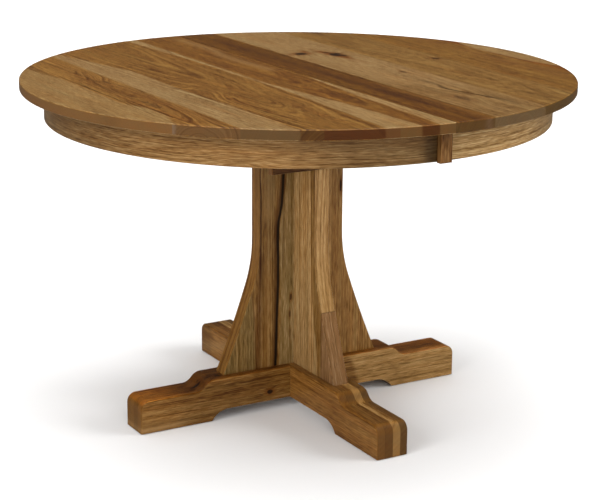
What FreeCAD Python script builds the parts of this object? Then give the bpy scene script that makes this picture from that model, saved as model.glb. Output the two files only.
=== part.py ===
import FreeCAD, Part
import math
import os
import Sketcher

# Round single-pedestal extension table, millimetres.
# Origin: centre of the base on the floor, +Z up. The split in the top runs along Y, so the two
# halves slide apart along -X and +X. The feet point along +-X and +-Y.

os.makedirs("parts", exist_ok=True)
doc = FreeCAD.newDocument("round_extension_table")
V = FreeCAD.Vector


# ------------------------------------------------------------------ driving dimensions
class Q:
    """A size with its value and the sheet expression that gives it."""

    def __init__(self, expr, val):
        self.e = expr
        self.v = float(val)

    @staticmethod
    def of(o):
        if isinstance(o, Q):
            return o
        return Q(repr(round(float(o), 6)), o)

    def __add__(self, o):
        o = Q.of(o)
        return Q("(%s + %s)" % (self.e, o.e), self.v + o.v)

    def __radd__(self, o):
        return Q.of(o) + self

    def __sub__(self, o):
        o = Q.of(o)
        return Q("(%s - %s)" % (self.e, o.e), self.v - o.v)

    def __rsub__(self, o):
        return Q.of(o) - self

    def __mul__(self, o):
        o = Q.of(o)
        return Q("(%s * %s)" % (self.e, o.e), self.v * o.v)

    def __rmul__(self, o):
        return Q.of(o) * self

    def __truediv__(self, o):
        o = Q.of(o)
        return Q("(%s / %s)" % (self.e, o.e), self.v / o.v)

    def __neg__(self):
        return Q("(0 - %s)" % self.e, -self.v)


sheet = doc.addObject("Spreadsheet::Sheet", "Sizes")
D = {}
DIMENSIONS = [
    # table
    ("table_diameter", 1219.2), ("table_height", 762.0), ("top_thickness", 22.0),
    ("top_edge_chamfer", 2.6), ("seam_gap", 0.4),
    ("joint_left_a", -487.0), ("joint_left_b", -393.0), ("joint_left_c", -260.0), ("joint_left_d", -120.0),
    ("joint_right_a", 97.0), ("joint_right_b", 257.0), ("joint_right_c", 400.0), ("joint_right_d", 545.0),
    # apron
    ("apron_radius", 558.5), ("apron_thickness", 19.0), ("apron_height", 65.5),
    ("joint_block_from", -9.0), ("joint_block_to", 18.0), ("joint_block_proud", 15.5), ("joint_block_drop", 1.0),
    # feet
    ("foot_half_length", 412.0), ("foot_width", 76.2), ("foot_clearance", 2.0),
    ("foot_top", 98.0), ("foot_toe_top", 76.0), ("arch_top", 24.5), ("arch_start", 238.0), ("arch_end", 196.0),
    ("ogee_inner", 231.0), ("ogee_outer", 277.0),
    ("toe_radius", 21.0), ("foot_edge_radius", 4.0), ("lap_level", 61.0),
    ("glide_radius", 12.0), ("glide_offset", 385.0),
    # pedestal
    ("fin_thickness", 38.1), ("fin_half_width", 107.9), ("fin_top", 655.0), ("flare_start", 397.0),
    ("flare_mid_z", 290.0), ("flare_mid_x", 125.6), ("flare_foot_x", 199.5), ("fin_edge_chamfer", 2.4),
    # mounting cleats and plate
    ("cleat_thickness", 16.0), ("cleat_half_length", 134.5), ("cleat_bottom", 571.5),
    ("plate_thickness", 25.4), ("plate_half_x", 150.0), ("plate_half_y", 238.0),
    # slides
    ("slide_offset", 190.0), ("rail_half_length", 400.0), ("rail_long_end", 430.0), ("center_rail_width", 34.0),
    ("center_rail_height", 56.6), ("outer_rail_width", 26.0), ("outer_rail_bottom", 684.0), ("rail_gap", 0.6),
    ("groove_low", 697.0), ("groove_high", 711.0), ("groove_depth", 9.5), ("tongue_clear", 0.6),
    ("travel", 305.0),
    # gears
    ("gear_module", 2.0), ("pinion_teeth", 16.0), ("pinion_thickness", 9.0), ("pinion_low", 719.5),
    ("axle_radius", 5.0), ("axle_clearance", 0.05),
    # hardware
    ("seam_pin_radius", 4.0), ("seam_pin_reach", 12.0), ("latch_y", 345.0),
]
for row, (alias, value) in enumerate(DIMENSIONS, start=1):
    sheet.set("A%d" % row, alias)
    sheet.set("B%d" % row, repr(value))
    sheet.setAlias("B%d" % row, alias)
    D[alias] = Q("Sizes.%s" % alias, value)
doc.recompute()


def num(q):
    return Q.of(q).v


def bind(obj, prop, q):
    """Ties one property of an object to the sheet."""
    q = Q.of(q)
    obj.setExpression(prop, q.e)


# ------------------------------------------------------------------ primitive helpers
def box(name, x0, x1, y0, y1, z0, z1):
    b = doc.addObject("Part::Box", name)
    b.Length, b.Width, b.Height = num(x1) - num(x0), num(y1) - num(y0), num(z1) - num(z0)
    b.Placement = FreeCAD.Placement(V(num(x0), num(y0), num(z0)), FreeCAD.Rotation())
    bind(b, "Length", Q.of(x1) - x0)
    bind(b, "Width", Q.of(y1) - y0)
    bind(b, "Height", Q.of(z1) - z0)
    bind(b, "Placement.Base.x", x0)
    bind(b, "Placement.Base.y", y0)
    bind(b, "Placement.Base.z", z0)
    return b


AXES = {
    "+Z": FreeCAD.Rotation(),
    "-Z": FreeCAD.Rotation(V(1, 0, 0), 180),
    "+X": FreeCAD.Rotation(V(0, 1, 0), 90),
    "-X": FreeCAD.Rotation(V(0, 1, 0), -90),
    "+Y": FreeCAD.Rotation(V(1, 0, 0), -90),
    "-Y": FreeCAD.Rotation(V(1, 0, 0), 90),
}


def at(obj, x, y, z, axis="+Z"):
    obj.Placement = FreeCAD.Placement(V(num(x), num(y), num(z)), AXES[axis])
    bind(obj, "Placement.Base.x", x)
    bind(obj, "Placement.Base.y", y)
    bind(obj, "Placement.Base.z", z)
    return obj


def cyl(name, r, length, x, y, z, axis="+Z"):
    c = doc.addObject("Part::Cylinder", name)
    c.Radius, c.Height = num(r), num(length)
    bind(c, "Radius", r)
    bind(c, "Height", length)
    return at(c, x, y, z, axis)


def cone(name, r1, r2, length, x, y, z, axis="+Z"):
    c = doc.addObject("Part::Cone", name)
    c.Radius1, c.Radius2, c.Height = num(r1), num(r2), num(length)
    bind(c, "Radius1", r1)
    bind(c, "Radius2", r2)
    bind(c, "Height", length)
    return at(c, x, y, z, axis)


def prism(name, sides, across, length, x, y, z, axis="+Z"):
    """Hexagon and the like, by its size across flats."""
    p = doc.addObject("Part::Prism", name)
    p.Polygon = sides
    circum = num(across) / 2.0 / math.cos(math.pi / sides)
    p.Circumradius, p.Height = circum, num(length)
    bind(p, "Circumradius", Q.of(across) / (2.0 * math.cos(math.pi / sides)))
    bind(p, "Height", length)
    return at(p, x, y, z, axis)


def fuse(name, *objs):
    f = doc.addObject("Part::MultiFuse", name)
    f.Shapes = list(objs)
    f.Refine = False
    return f


def tool(name, objs):
    """Several cutting bodies as one."""
    objs = list(objs)
    if len(objs) == 1:
        return objs[0]
    c = doc.addObject("Part::Compound", name)
    c.Links = objs
    return c


def cut(name, base, *tools):
    c = doc.addObject("Part::Cut", name)
    c.Base = base
    c.Tool = tool(name + "_tools", tools)
    return c


def common(name, a, b):
    c = doc.addObject("Part::Common", name)
    c.Base, c.Tool = a, b
    return c


def group(name, *objs):
    c = doc.addObject("Part::Compound", name)
    c.Links = list(objs)
    return c


NODES = []


def node(label, obj):
    obj.Label = label
    NODES.append((label, obj))
    return obj


# ------------------------------------------------------------------ sketched bodies
def origin_plane(body, role):
    for feature in body.Origin.OriginFeatures:
        if feature.Role == role:
            return feature
    raise RuntimeError("no plane " + role)


def outline(body, role, name, points):
    """Closed profile on one of the body's origin planes. points: (u, v, bulge) where bulge is None
    for a straight run to the next point, or (radius, side) for an arc, side +1 when it bends to the
    left of the run. Every corner is located from the origin and every arc by its radius."""
    sk = body.newObject("Sketcher::SketchObject", name)
    sk.AttachmentSupport = [(origin_plane(body, role), "")]
    sk.MapMode = "FlatFace"
    n = len(points)
    starts, ends = [], []
    for i in range(n):
        (u0, v0, seg), (u1, v1, _) = points[i], points[(i + 1) % n]
        a, b = V(num(u0), num(v0), 0), V(num(u1), num(v1), 0)
        if seg is None:
            g = sk.addGeometry(Part.LineSegment(a, b), False)
            starts.append((g, 1))
            ends.append((g, 2))
        else:
            radius, side = seg
            r = num(radius)
            mid = (a + b) * 0.5
            d = b - a
            half = d.Length / 2.0
            left = V(-d.y, d.x, 0)
            left.normalize()
            rise = math.sqrt(max(r * r - half * half, 0.0))
            centre = mid + left * (rise * side)
            a0 = math.atan2(a.y - centre.y, a.x - centre.x)
            a1 = math.atan2(b.y - centre.y, b.x - centre.x)
            circle = Part.Circle(centre, V(0, 0, 1), r)
            if side > 0:
                g = sk.addGeometry(Part.ArcOfCircle(circle, a0, a1 if a1 > a0 else a1 + 2 * math.pi), False)
                starts.append((g, 1))
                ends.append((g, 2))
            else:
                g = sk.addGeometry(Part.ArcOfCircle(circle, a1, a0 if a0 > a1 else a0 + 2 * math.pi), False)
                starts.append((g, 2))
                ends.append((g, 1))
            k = sk.addConstraint(Sketcher.Constraint("Radius", g, r))
            sk.setExpression("Constraints[%d]" % k, Q.of(radius).e)
    for i in range(n):
        (g0, p0), (g1, p1) = ends[i], starts[(i + 1) % n]
        sk.addConstraint(Sketcher.Constraint("Coincident", g0, p0, g1, p1))
    for i in range(n):
        g, p = starts[i]
        for kind, q in (("DistanceX", points[i][0]), ("DistanceY", points[i][1])):
            k = sk.addConstraint(Sketcher.Constraint(kind, -1, 1, g, p, num(q)))
            sk.setExpression("Constraints[%d]" % k, Q.of(q).e)
    return sk


def rect(body, role, name, u0, u1, v0, v1):
    return outline(body, role, name, [(u0, v0, None), (u1, v0, None), (u1, v1, None), (u0, v1, None)])


def disc(body, role, name, u, v, r):
    sk = body.newObject("Sketcher::SketchObject", name)
    sk.AttachmentSupport = [(origin_plane(body, role), "")]
    sk.MapMode = "FlatFace"
    g = sk.addGeometry(Part.Circle(V(num(u), num(v), 0), V(0, 0, 1), num(r)), False)
    k = sk.addConstraint(Sketcher.Constraint("Radius", g, num(r)))
    sk.setExpression("Constraints[%d]" % k, Q.of(r).e)
    for kind, q in (("DistanceX", u), ("DistanceY", v)):
        k = sk.addConstraint(Sketcher.Constraint(kind, -1, 1, g, 3, num(q)))
        sk.setExpression("Constraints[%d]" % k, Q.of(q).e)
    return sk


def lift(sk, q):
    """Moves a sketch along its plane's normal."""
    sk.AttachmentOffset = FreeCAD.Placement(V(0, 0, num(q)), FreeCAD.Rotation())
    bind(sk, "AttachmentOffset.Base.z", q)


def pad(body, sk, length, symmetric=False, reverse=False):
    p = body.newObject("PartDesign::Pad", "pad")
    p.Profile = sk
    p.Length = num(length)
    bind(p, "Length", length)
    p.SideType = "Symmetric" if symmetric else "One side"
    p.Reversed = reverse
    return p


CHECKS = []


def pocket(body, sk, length, symmetric=False, reverse=False):
    before = body.Tip
    p = body.newObject("PartDesign::Pocket", "pocket")
    p.Profile = sk
    p.Length = num(length)
    bind(p, "Length", length)
    p.SideType = "Symmetric" if symmetric else "One side"
    p.Reversed = reverse
    CHECKS.append((body.Name, before, p))
    return p


def round_edges(body, radius, wanted, name="easing"):
    """Rounds the edges of the body's tip for which wanted(edge) is true."""
    doc.recompute()
    base = body.Tip
    names = ["Edge%d" % (i + 1) for i, e in enumerate(base.Shape.Edges) if wanted(e)]
    f = body.newObject("PartDesign::Fillet", name)
    f.Base = (base, names)
    f.Radius = num(radius)
    bind(f, "Radius", radius)
    return f


def bevel_edges(body, size, wanted, name="easing"):
    """Chamfers the edges of the body's tip for which wanted(edge) is true."""
    doc.recompute()
    base = body.Tip
    names = ["Edge%d" % (i + 1) for i, e in enumerate(base.Shape.Edges) if wanted(e)]
    f = body.newObject("PartDesign::Chamfer", name)
    f.Base = (base, names)
    f.Size = num(size)
    bind(f, "Size", size)
    return f


d = D

# ================================================================== TABLE TOP
top_z = d["table_height"]
under_z = top_z - d["top_thickness"]
r_top = d["table_diameter"] / 2.0
half_gap = d["seam_gap"] / 2.0

round_top = cyl("round_top", r_top, d["top_thickness"], 0, 0, under_z)
doc.recompute()
eased_top = doc.addObject("Part::Chamfer", "eased_top")
eased_top.Base = round_top
rims = [i + 1 for i, e in enumerate(round_top.Shape.Edges) if e.Closed and e.BoundBox.ZLength < 1e-4]
eased_top.Edges = [(i, num(d["top_edge_chamfer"]), num(d["top_edge_chamfer"])) for i in rims]

wide = r_top + 20
joints_left = [-wide, d["joint_left_a"], d["joint_left_b"], d["joint_left_c"], d["joint_left_d"], -half_gap]
joints_right = [half_gap, d["joint_right_a"], d["joint_right_b"], d["joint_right_c"], d["joint_right_d"], wide]
PIN_Y = [-455.0, -152.0, 152.0, 455.0]
pin_z = under_z + d["top_thickness"] / 2.0


def board(label, x0, x1, tools=()):
    strip = box(label + "_strip", x0, x1, -wide, wide, under_z - 5, top_z + 5)
    b = common(label + "_plain", eased_top, strip)
    if tools:
        b = cut(label + "_drilled", b, *tools)
    return node(label, b)


for k in range(5):
    tools = []
    if k == 4:
        tools = [cyl("pin_hole_l%d" % i, d["seam_pin_radius"], 40, -20.2, y, pin_z, "+X") for i, y in enumerate(PIN_Y)]
    board("top_left_board_%d" % (k + 1), joints_left[k], joints_left[k + 1], tools)
for k in range(5):
    tools = []
    if k == 0:
        tools = [cyl("pin_hole_r%d" % i, d["seam_pin_radius"] + 0.4, d["seam_pin_reach"] + 13, -10, y, pin_z, "+X")
                 for i, y in enumerate(PIN_Y)]
    board("top_right_board_%d" % (k + 1), joints_right[k], joints_right[k + 1], tools)

# alignment pins: set in the left half, with a coned nose that enters the right half
pins = []
for i, y in enumerate(PIN_Y):
    shank = cyl("pin_shank_%d" % i, d["seam_pin_radius"], d["seam_pin_reach"] + 20.2 - 3, -20.2, y, pin_z, "+X")
    nose = cone("pin_nose_%d" % i, d["seam_pin_radius"], d["seam_pin_radius"] - 1.8, 3, d["seam_pin_reach"] - 3, y, pin_z, "+X")
    pins.append(fuse("pin_%d" % i, shank, nose))
node("seam_pins", group("seam_pin_set", *pins))

# ================================================================== APRON
apron_z0 = under_z - d["apron_height"]
ar = d["apron_radius"]


def apron(label, x0, x1):
    body = doc.addObject("PartDesign::Body", label + "_body")
    sk = body.newObject("Sketcher::SketchObject", label + "_section")
    sk.AttachmentSupport = [(origin_plane(body, "XZ_Plane"), "")]
    sk.MapMode = "FlatFace"
    a = [(ar - d["apron_thickness"], apron_z0), (ar, apron_z0), (ar, under_z), (ar - d["apron_thickness"], under_z)]
    gs = []
    for i in range(4):
        p, q = a[i], a[(i + 1) % 4]
        gs.append(sk.addGeometry(Part.LineSegment(V(num(p[0]), num(p[1]), 0), V(num(q[0]), num(q[1]), 0)), False))
    for i in range(4):
        sk.addConstraint(Sketcher.Constraint("Coincident", gs[i], 2, gs[(i + 1) % 4], 1))
    for i in range(4):
        for kind, q in (("DistanceX", a[i][0]), ("DistanceY", a[i][1])):
            k = sk.addConstraint(Sketcher.Constraint(kind, -1, 1, gs[i], 1, num(q)))
            sk.setExpression("Constraints[%d]" % k, Q.of(q).e)
    rev = body.newObject("PartDesign::Revolution", label + "_ring")
    rev.Profile = sk
    rev.ReferenceAxis = (sk, ["V_Axis"])
    rev.Angle = 360
    round_edges(body, 2.0, lambda e: e.Closed and abs(e.BoundBox.ZMin - num(apron_z0)) < 0.01
                and e.BoundBox.ZLength < 0.01, label + "_easing")
    doc.recompute()
    keep = box(label + "_half", x0, x1, -wide, wide, apron_z0 - 10, under_z + 10)
    return node(label, common(label + "_cutting", body, keep))


apron("apron_left", -wide, -half_gap)
apron("apron_right", half_gap, wide)


# upright block over the apron joint, glued to the right half and lapping over the left one
def joint_block(label, side):
    y_in, y_out = (ar - 3) * side, (ar + d["joint_block_proud"]) * side
    y0, y1 = (y_out, y_in) if side < 0 else (y_in, y_out)
    block = box(label + "_blank", d["joint_block_from"], d["joint_block_to"], y0, y1,
                apron_z0 - d["joint_block_drop"], under_z - 0.5)
    doc.recompute()
    eased = doc.addObject("Part::Fillet", label + "_eased")
    eased.Base = block
    picked = []
    for i, e in enumerate(block.Shape.Edges):
        bb = e.BoundBox
        outer = abs(bb.YMin - num(y_out)) < 0.01 and abs(bb.YMax - num(y_out)) < 0.01
        if outer and bb.ZMin < num(under_z) - 1:
            picked.append(i + 1)
    eased.Edges = [(i, 2.5, 2.5) for i in picked]
    glued = cyl(label + "_seat", ar, 90, 0, 0, apron_z0 - 10)
    clear = cyl(label + "_clear_disc", ar + 0.5, 90, 0, 0, apron_z0 - 10)
    clear_left = common(label + "_clear_left", clear,
                        box(label + "_left_zone", -wide, half_gap, -wide, wide, apron_z0 - 10, under_z + 20))
    return node(label, cut(label + "_fitted", eased, glued, clear_left))


joint_block("apron_joint_block_front", -1)
joint_block("apron_joint_block_back", 1)


# glue blocks behind the apron
def glue_blocks(label, angles):
    blocks = []
    inner = ar - d["apron_thickness"]
    for i, ang in enumerate(angles):
        b = doc.addObject("Part::Box", "%s_%d_blank" % (label, i))
        b.Length, b.Width, b.Height = 34, 64, 34
        c, s = math.cos(math.radians(ang)), math.sin(math.radians(ang))
        r0 = num(inner) - 30
        b.Placement = FreeCAD.Placement(V(r0 * c + 32 * s, r0 * s - 32 * c, num(under_z) - 34),
                                        FreeCAD.Rotation(V(0, 0, 1), ang))
        seat = cyl("%s_%d_seat" % (label, i), inner, 60, 0, 0, under_z - 50)
        blocks.append(common("%s_%d" % (label, i), b, seat))
    return node(label, group(label + "_set", *blocks))


glue_blocks("glue_blocks_left", [112, 146, 180, 214, 248])
glue_blocks("glue_blocks_right", [-68, -34, 0, 34, 68])

# ================================================================== FEET
fl, fw = d["foot_half_length"], d["foot_width"]
z0 = d["foot_clearance"]


def foot_profile(body, role, name):
    """Half lengths mirrored about the centre: rounded toe, ogee step, shallow arch below."""
    o_mid = (d["ogee_inner"] + d["ogee_outer"]) / 2.0
    z_mid = (d["foot_top"] + d["foot_toe_top"]) / 2.0
    tr = d["toe_radius"]
    # radii that make each arc run into its neighbour without a corner
    o_dx, o_dz = (d["ogee_outer"] - d["ogee_inner"]) / 2.0, (d["foot_top"] - d["foot_toe_top"]) / 2.0
    orad = (o_dx * o_dx + o_dz * o_dz) / (2.0 * o_dz)
    a_dx, a_dz = d["arch_start"] - d["arch_end"], d["arch_top"] - z0
    arad = (a_dx * a_dx + a_dz * a_dz) / (2.0 * a_dz)
    right = [
        (d["arch_end"], d["arch_top"], (arad, -1)),
        (d["arch_start"], z0, None),
        (fl, z0, None),
        (fl, d["foot_toe_top"] - tr, (tr, +1)),
        (fl - tr, d["foot_toe_top"], None),
        (d["ogee_outer"], d["foot_toe_top"], (orad, -1)),
        (o_mid, z_mid, (orad, +1)),
        (d["ogee_inner"], d["foot_top"], None),
    ]
    left = [
        (-d["ogee_inner"], d["foot_top"], (orad, +1)),
        (-o_mid, z_mid, (orad, -1)),
        (-d["ogee_outer"], d["foot_toe_top"], None),
        (-(fl - tr), d["foot_toe_top"], (tr, +1)),
        (-fl, d["foot_toe_top"] - tr, None),
        (-fl, z0, None),
        (-d["arch_start"], z0, (arad, -1)),
        (-d["arch_end"], d["arch_top"], None),
    ]
    return outline(body, role, name, right + left)


LAG_AT = [78.0, 152.0]


def foot(label, along, upper):
    body = doc.addObject("PartDesign::Body", label + "_body")
    role = "XZ_Plane" if along == "X" else "YZ_Plane"
    pad(body, foot_profile(body, role, label + "_profile"), fw, symmetric=True)

    # the top edges and the upright toe edges are eased, the bottom ones left crisp
    def long_edge(e):
        bb = e.BoundBox
        across = bb.YLength if along == "X" else bb.XLength
        reach = max(abs(bb.XMin), abs(bb.XMax)) if along == "X" else max(abs(bb.YMin), abs(bb.YMax))
        return across < 1e-3 and (bb.ZMin > num(d["arch_top"]) + 10 or (reach > num(fl) - 0.01 and bb.ZLength > 20))

    round_edges(body, d["foot_edge_radius"], long_edge, label + "_easing")
    # half lap at the crossing
    lap = rect(body, "XY_Plane", label + "_lap", -(fw / 2.0), fw / 2.0, -(fw / 2.0) - 5, fw / 2.0 + 5) if along == "X" \
        else rect(body, "XY_Plane", label + "_lap", -(fw / 2.0) - 5, fw / 2.0 + 5, -(fw / 2.0), fw / 2.0)
    if upper:
        lift(lap, 0)
        pocket(body, lap, d["lap_level"], reverse=True)
    else:
        lift(lap, d["lap_level"])
        pocket(body, lap, d["foot_top"], reverse=True)
    # counterbored holes for the lag screws, from below
    for i, t in enumerate([s * q for s in (-1, 1) for q in LAG_AT]):
        u, v = (t, 0) if along == "X" else (0, t)
        hole = disc(body, "XY_Plane", "%s_hole_%d" % (label, i), u, v, 4.5)
        pocket(body, hole, 130, reverse=True)
        bore = disc(body, "XY_Plane", "%s_counterbore_%d" % (label, i), u, v, 13.0)
        pocket(body, bore, 38, reverse=True)
    return node(label, body)


foot("foot_beam_x", "X", False)
foot("foot_beam_y", "Y", True)

# lag screws with washers: hexagon head in the counterbore, shank up into the pedestal
lags = []
washers = []
lag_places = [(s * q, 0) for s in (-1, 1) for q in LAG_AT] + [(0, s * q) for s in (-1, 1) for q in LAG_AT]
for i, (x, y) in enumerate(lag_places):
    washers.append(cut("lag_washer_%d" % i, cyl("lag_washer_disc_%d" % i, 10, 1.6, x, y, 36.4),
                       cyl("lag_washer_hole_%d" % i, 4.2, 5, x, y, 34)))
    head = prism("lag_head_%d" % i, 6, 13, 5.5, x, y, 30.9)
    shank = cyl("lag_shank_%d" % i, 4.0, 112, x, y, 36.4)
    tip = cone("lag_tip_%d" % i, 4.0, 0.8, 8, x, y, 148.4)
    lags.append(fuse("lag_%d" % i, head, shank, tip))
node("foot_lag_screws", group("foot_lag_screw_set", *lags))
node("foot_lag_washers", group("foot_lag_washer_set", *washers))

# nail-on glides
glides = []
for i, (x, y) in enumerate([(1, 0), (-1, 0), (0, 1), (0, -1)]):
    gx, gy = d["glide_offset"] * x, d["glide_offset"] * y
    pad_low = cone("glide_low_%d" % i, d["glide_radius"] - 1.2, d["glide_radius"], 0.8, gx, gy, 0)
    pad_up = cyl("glide_up_%d" % i, d["glide_radius"], z0 - 0.8, gx, gy, 0.8)
    nail = cyl("glide_nail_%d" % i, 1.5, 16, gx, gy, 1.2)
    glides.append(fuse("glide_%d" % i, pad_low, pad_up, nail))
node("floor_glides", group("floor_glide_set", *glides))

# ================================================================== PEDESTAL
ft, fh = d["fin_thickness"], d["fin_half_width"]


u_dx, u_dz = d["flare_mid_x"] - fh, d["flare_start"] - d["flare_mid_z"]
r_up = (u_dx * u_dx + u_dz * u_dz) / (2.0 * u_dx)
l_dx, l_dz = d["flare_foot_x"] - d["flare_mid_x"], d["flare_mid_z"] - d["foot_top"]
r_low = (l_dx * l_dx + l_dz * l_dz) / (2.0 * (l_dx * (r_up - u_dx) / r_up - l_dz * u_dz / r_up))


def flare(sign):
    """Outer edge of a fin from the top down: straight, then two tangent arcs to the foot."""
    return [(fh * sign, d["fin_top"]), (fh * sign, d["flare_start"]), (d["flare_mid_x"] * sign, d["flare_mid_z"]),
            (d["flare_foot_x"] * sign, d["foot_top"])]


def fin_body(label, role, points, easing):
    body = doc.addObject("PartDesign::Body", label + "_body")
    pad(body, outline(body, role, label + "_profile", points), ft, symmetric=True)
    bevel_edges(body, d["fin_edge_chamfer"], easing, label + "_easing")
    return body


def outer_edge(axis, inner):
    """Long edges of the outer profile, away from the centre joint."""
    def pick(e):
        bb = e.BoundBox
        flat = bb.YLength < 1e-3 if axis == "X" else bb.XLength < 1e-3
        lo = min(abs(bb.XMin), abs(bb.XMax)) if axis == "X" else min(abs(bb.YMin), abs(bb.YMax))
        return flat and lo > inner and bb.ZLength > 5
    return pick


# through panel, along X: right edge is walked down, left edge back up
right = flare(1)
left = flare(-1)
panel_pts = [
    (left[0][0], left[0][1], None), (right[0][0], right[0][1], None),
    (right[1][0], right[1][1], (r_up, +1)), (right[2][0], right[2][1], (r_low, +1)), (right[3][0], right[3][1], None),
    (left[3][0], left[3][1], (r_low, +1)), (left[2][0], left[2][1], (r_up, +1)), (left[1][0], left[1][1], None),
]
node("pedestal_panel", fin_body("pedestal_panel", "XZ_Plane", panel_pts, outer_edge("X", 100)))


def wing(label, sign):
    p = flare(sign)
    inner = ft / 2.0 * sign
    pts = [(inner, d["fin_top"], None), (p[0][0], p[0][1], None), (p[1][0], p[1][1], (r_up, sign)),
           (p[2][0], p[2][1], (r_low, sign)), (p[3][0], p[3][1], None), (inner, d["foot_top"], None)]
    return node(label, fin_body(label, "YZ_Plane", pts, outer_edge("Y", 100)))


wing("pedestal_wing_front", -1)
wing("pedestal_wing_back", 1)

# mounting cleats on the ends of the two wings
for label, s in (("mounting_cleat_front", -1), ("mounting_cleat_back", 1)):
    body = doc.addObject("PartDesign::Body", label + "_body")
    cl = d["cleat_half_length"]
    sk = rect(body, "XZ_Plane", label + "_face", -cl, cl, d["cleat_bottom"], d["fin_top"])
    # the plane's normal is -Y
    lift(sk, fh if s < 0 else -(fh + d["cleat_thickness"]))
    pad(body, sk, d["cleat_thickness"])
    far = num(fh + d["cleat_thickness"]) * s

    def outer(e, far=far):
        bb = e.BoundBox
        return abs(bb.YMin - far) < 0.01 and abs(bb.YMax - far) < 0.01 and bb.ZMin < num(d["fin_top"]) - 1
    round_edges(body, 2.0, outer, label + "_easing")
    for i, (x, z) in enumerate([(-9, 595), (9, 632)]):
        hole = disc(body, "XZ_Plane", "%s_hole_%d" % (label, i), x, z, 2.6)
        pocket(body, hole, 300, symmetric=True)
    node(label, body)

cleat_screws = []
for s in (-1, 1):
    for i, (x, z) in enumerate([(-9, 595), (9, 632)]):
        y_face = (fh + d["cleat_thickness"]) * s
        ax = "+Y" if s < 0 else "-Y"
        nm = "cleat_screw_%s%d" % ("f" if s < 0 else "b", i)
        dome = cyl(nm + "_head", 5.2, 2.6, x, y_face + 2.6 * s, z, ax)
        shank = cyl(nm + "_shank", 2.5, 56, x, y_face, z, ax)
        cleat_screws.append(fuse(nm, dome, shank))
node("cleat_screws", group("cleat_screw_set", *cleat_screws))

# mounting plate across the pedestal and the cleats
plate_z0 = d["fin_top"]
plate_z1 = plate_z0 + d["plate_thickness"]
px, py = d["plate_half_x"], d["plate_half_y"]
plate_body = doc.addObject("PartDesign::Body", "mounting_plate_body")
plate_sk = rect(plate_body, "XY_Plane", "plate_outline", -px, px, -py, py)
lift(plate_sk, plate_z0)
pad(plate_body, plate_sk, d["plate_thickness"])
round_edges(plate_body, 12.0, lambda e: e.BoundBox.ZLength > 20, "plate_corners")
so = d["slide_offset"]
BOLT_X = [-110.0, 110.0]
PLATE_SCREWS = [(-80, 0), (80, 0), (0, -75), (0, 75), (-100, -115.9), (100, -115.9), (-100, 115.9), (100, 115.9)]
for i, (x, y) in enumerate([(bx, s * so) for bx in BOLT_X for s in (-1, 1)]):
    hole = disc(plate_body, "XY_Plane", "plate_bolt_hole_%d" % i, x, y, 4.5)
    lift(hole, plate_z0 - 5)
    pocket(plate_body, hole, 60, reverse=True)
for i, (x, y) in enumerate(PLATE_SCREWS):
    hole = disc(plate_body, "XY_Plane", "plate_screw_hole_%d" % i, x, y, 2.7)
    lift(hole, plate_z0 - 5)
    pocket(plate_body, hole, 60, reverse=True)
    sink = disc(plate_body, "XY_Plane", "plate_sink_%d" % i, x, y, 5.6)
    lift(sink, plate_z1 - 3.2)
    pocket(plate_body, sink, 60, reverse=True)
node("mounting_plate", plate_body)

plate_screws = []
for i, (x, y) in enumerate(PLATE_SCREWS):
    head = cyl("plate_screw_head_%d" % i, 5.0, 2.8, x, y, plate_z1 - 3.2)
    shank = cyl("plate_screw_shank_%d" % i, 2.5, 60, x, y, plate_z1 - 3.2 - 60)
    plate_screws.append(fuse("plate_screw_%d" % i, head, shank))
node("plate_screws", group("plate_screw_set", *plate_screws))

# ================================================================== SLIDES
cw = d["center_rail_width"] / 2.0
rail_z0 = plate_z1
rail_z1 = rail_z0 + d["center_rail_height"]
gl, gh, gd = d["groove_low"], d["groove_high"], d["groove_depth"]
tc, rg, ow = d["tongue_clear"], d["rail_gap"], d["outer_rail_width"]
hl, le = d["rail_half_length"], d["rail_long_end"]
mod = d["gear_module"]
pitch_r = mod * d["pinion_teeth"] / 2.0
rack_z0, rack_z1 = d["pinion_low"] - 0.5, d["pinion_low"] + d["pinion_thickness"] + 0.5
STOP_X = 60.0
stop_z = 690.5


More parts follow.
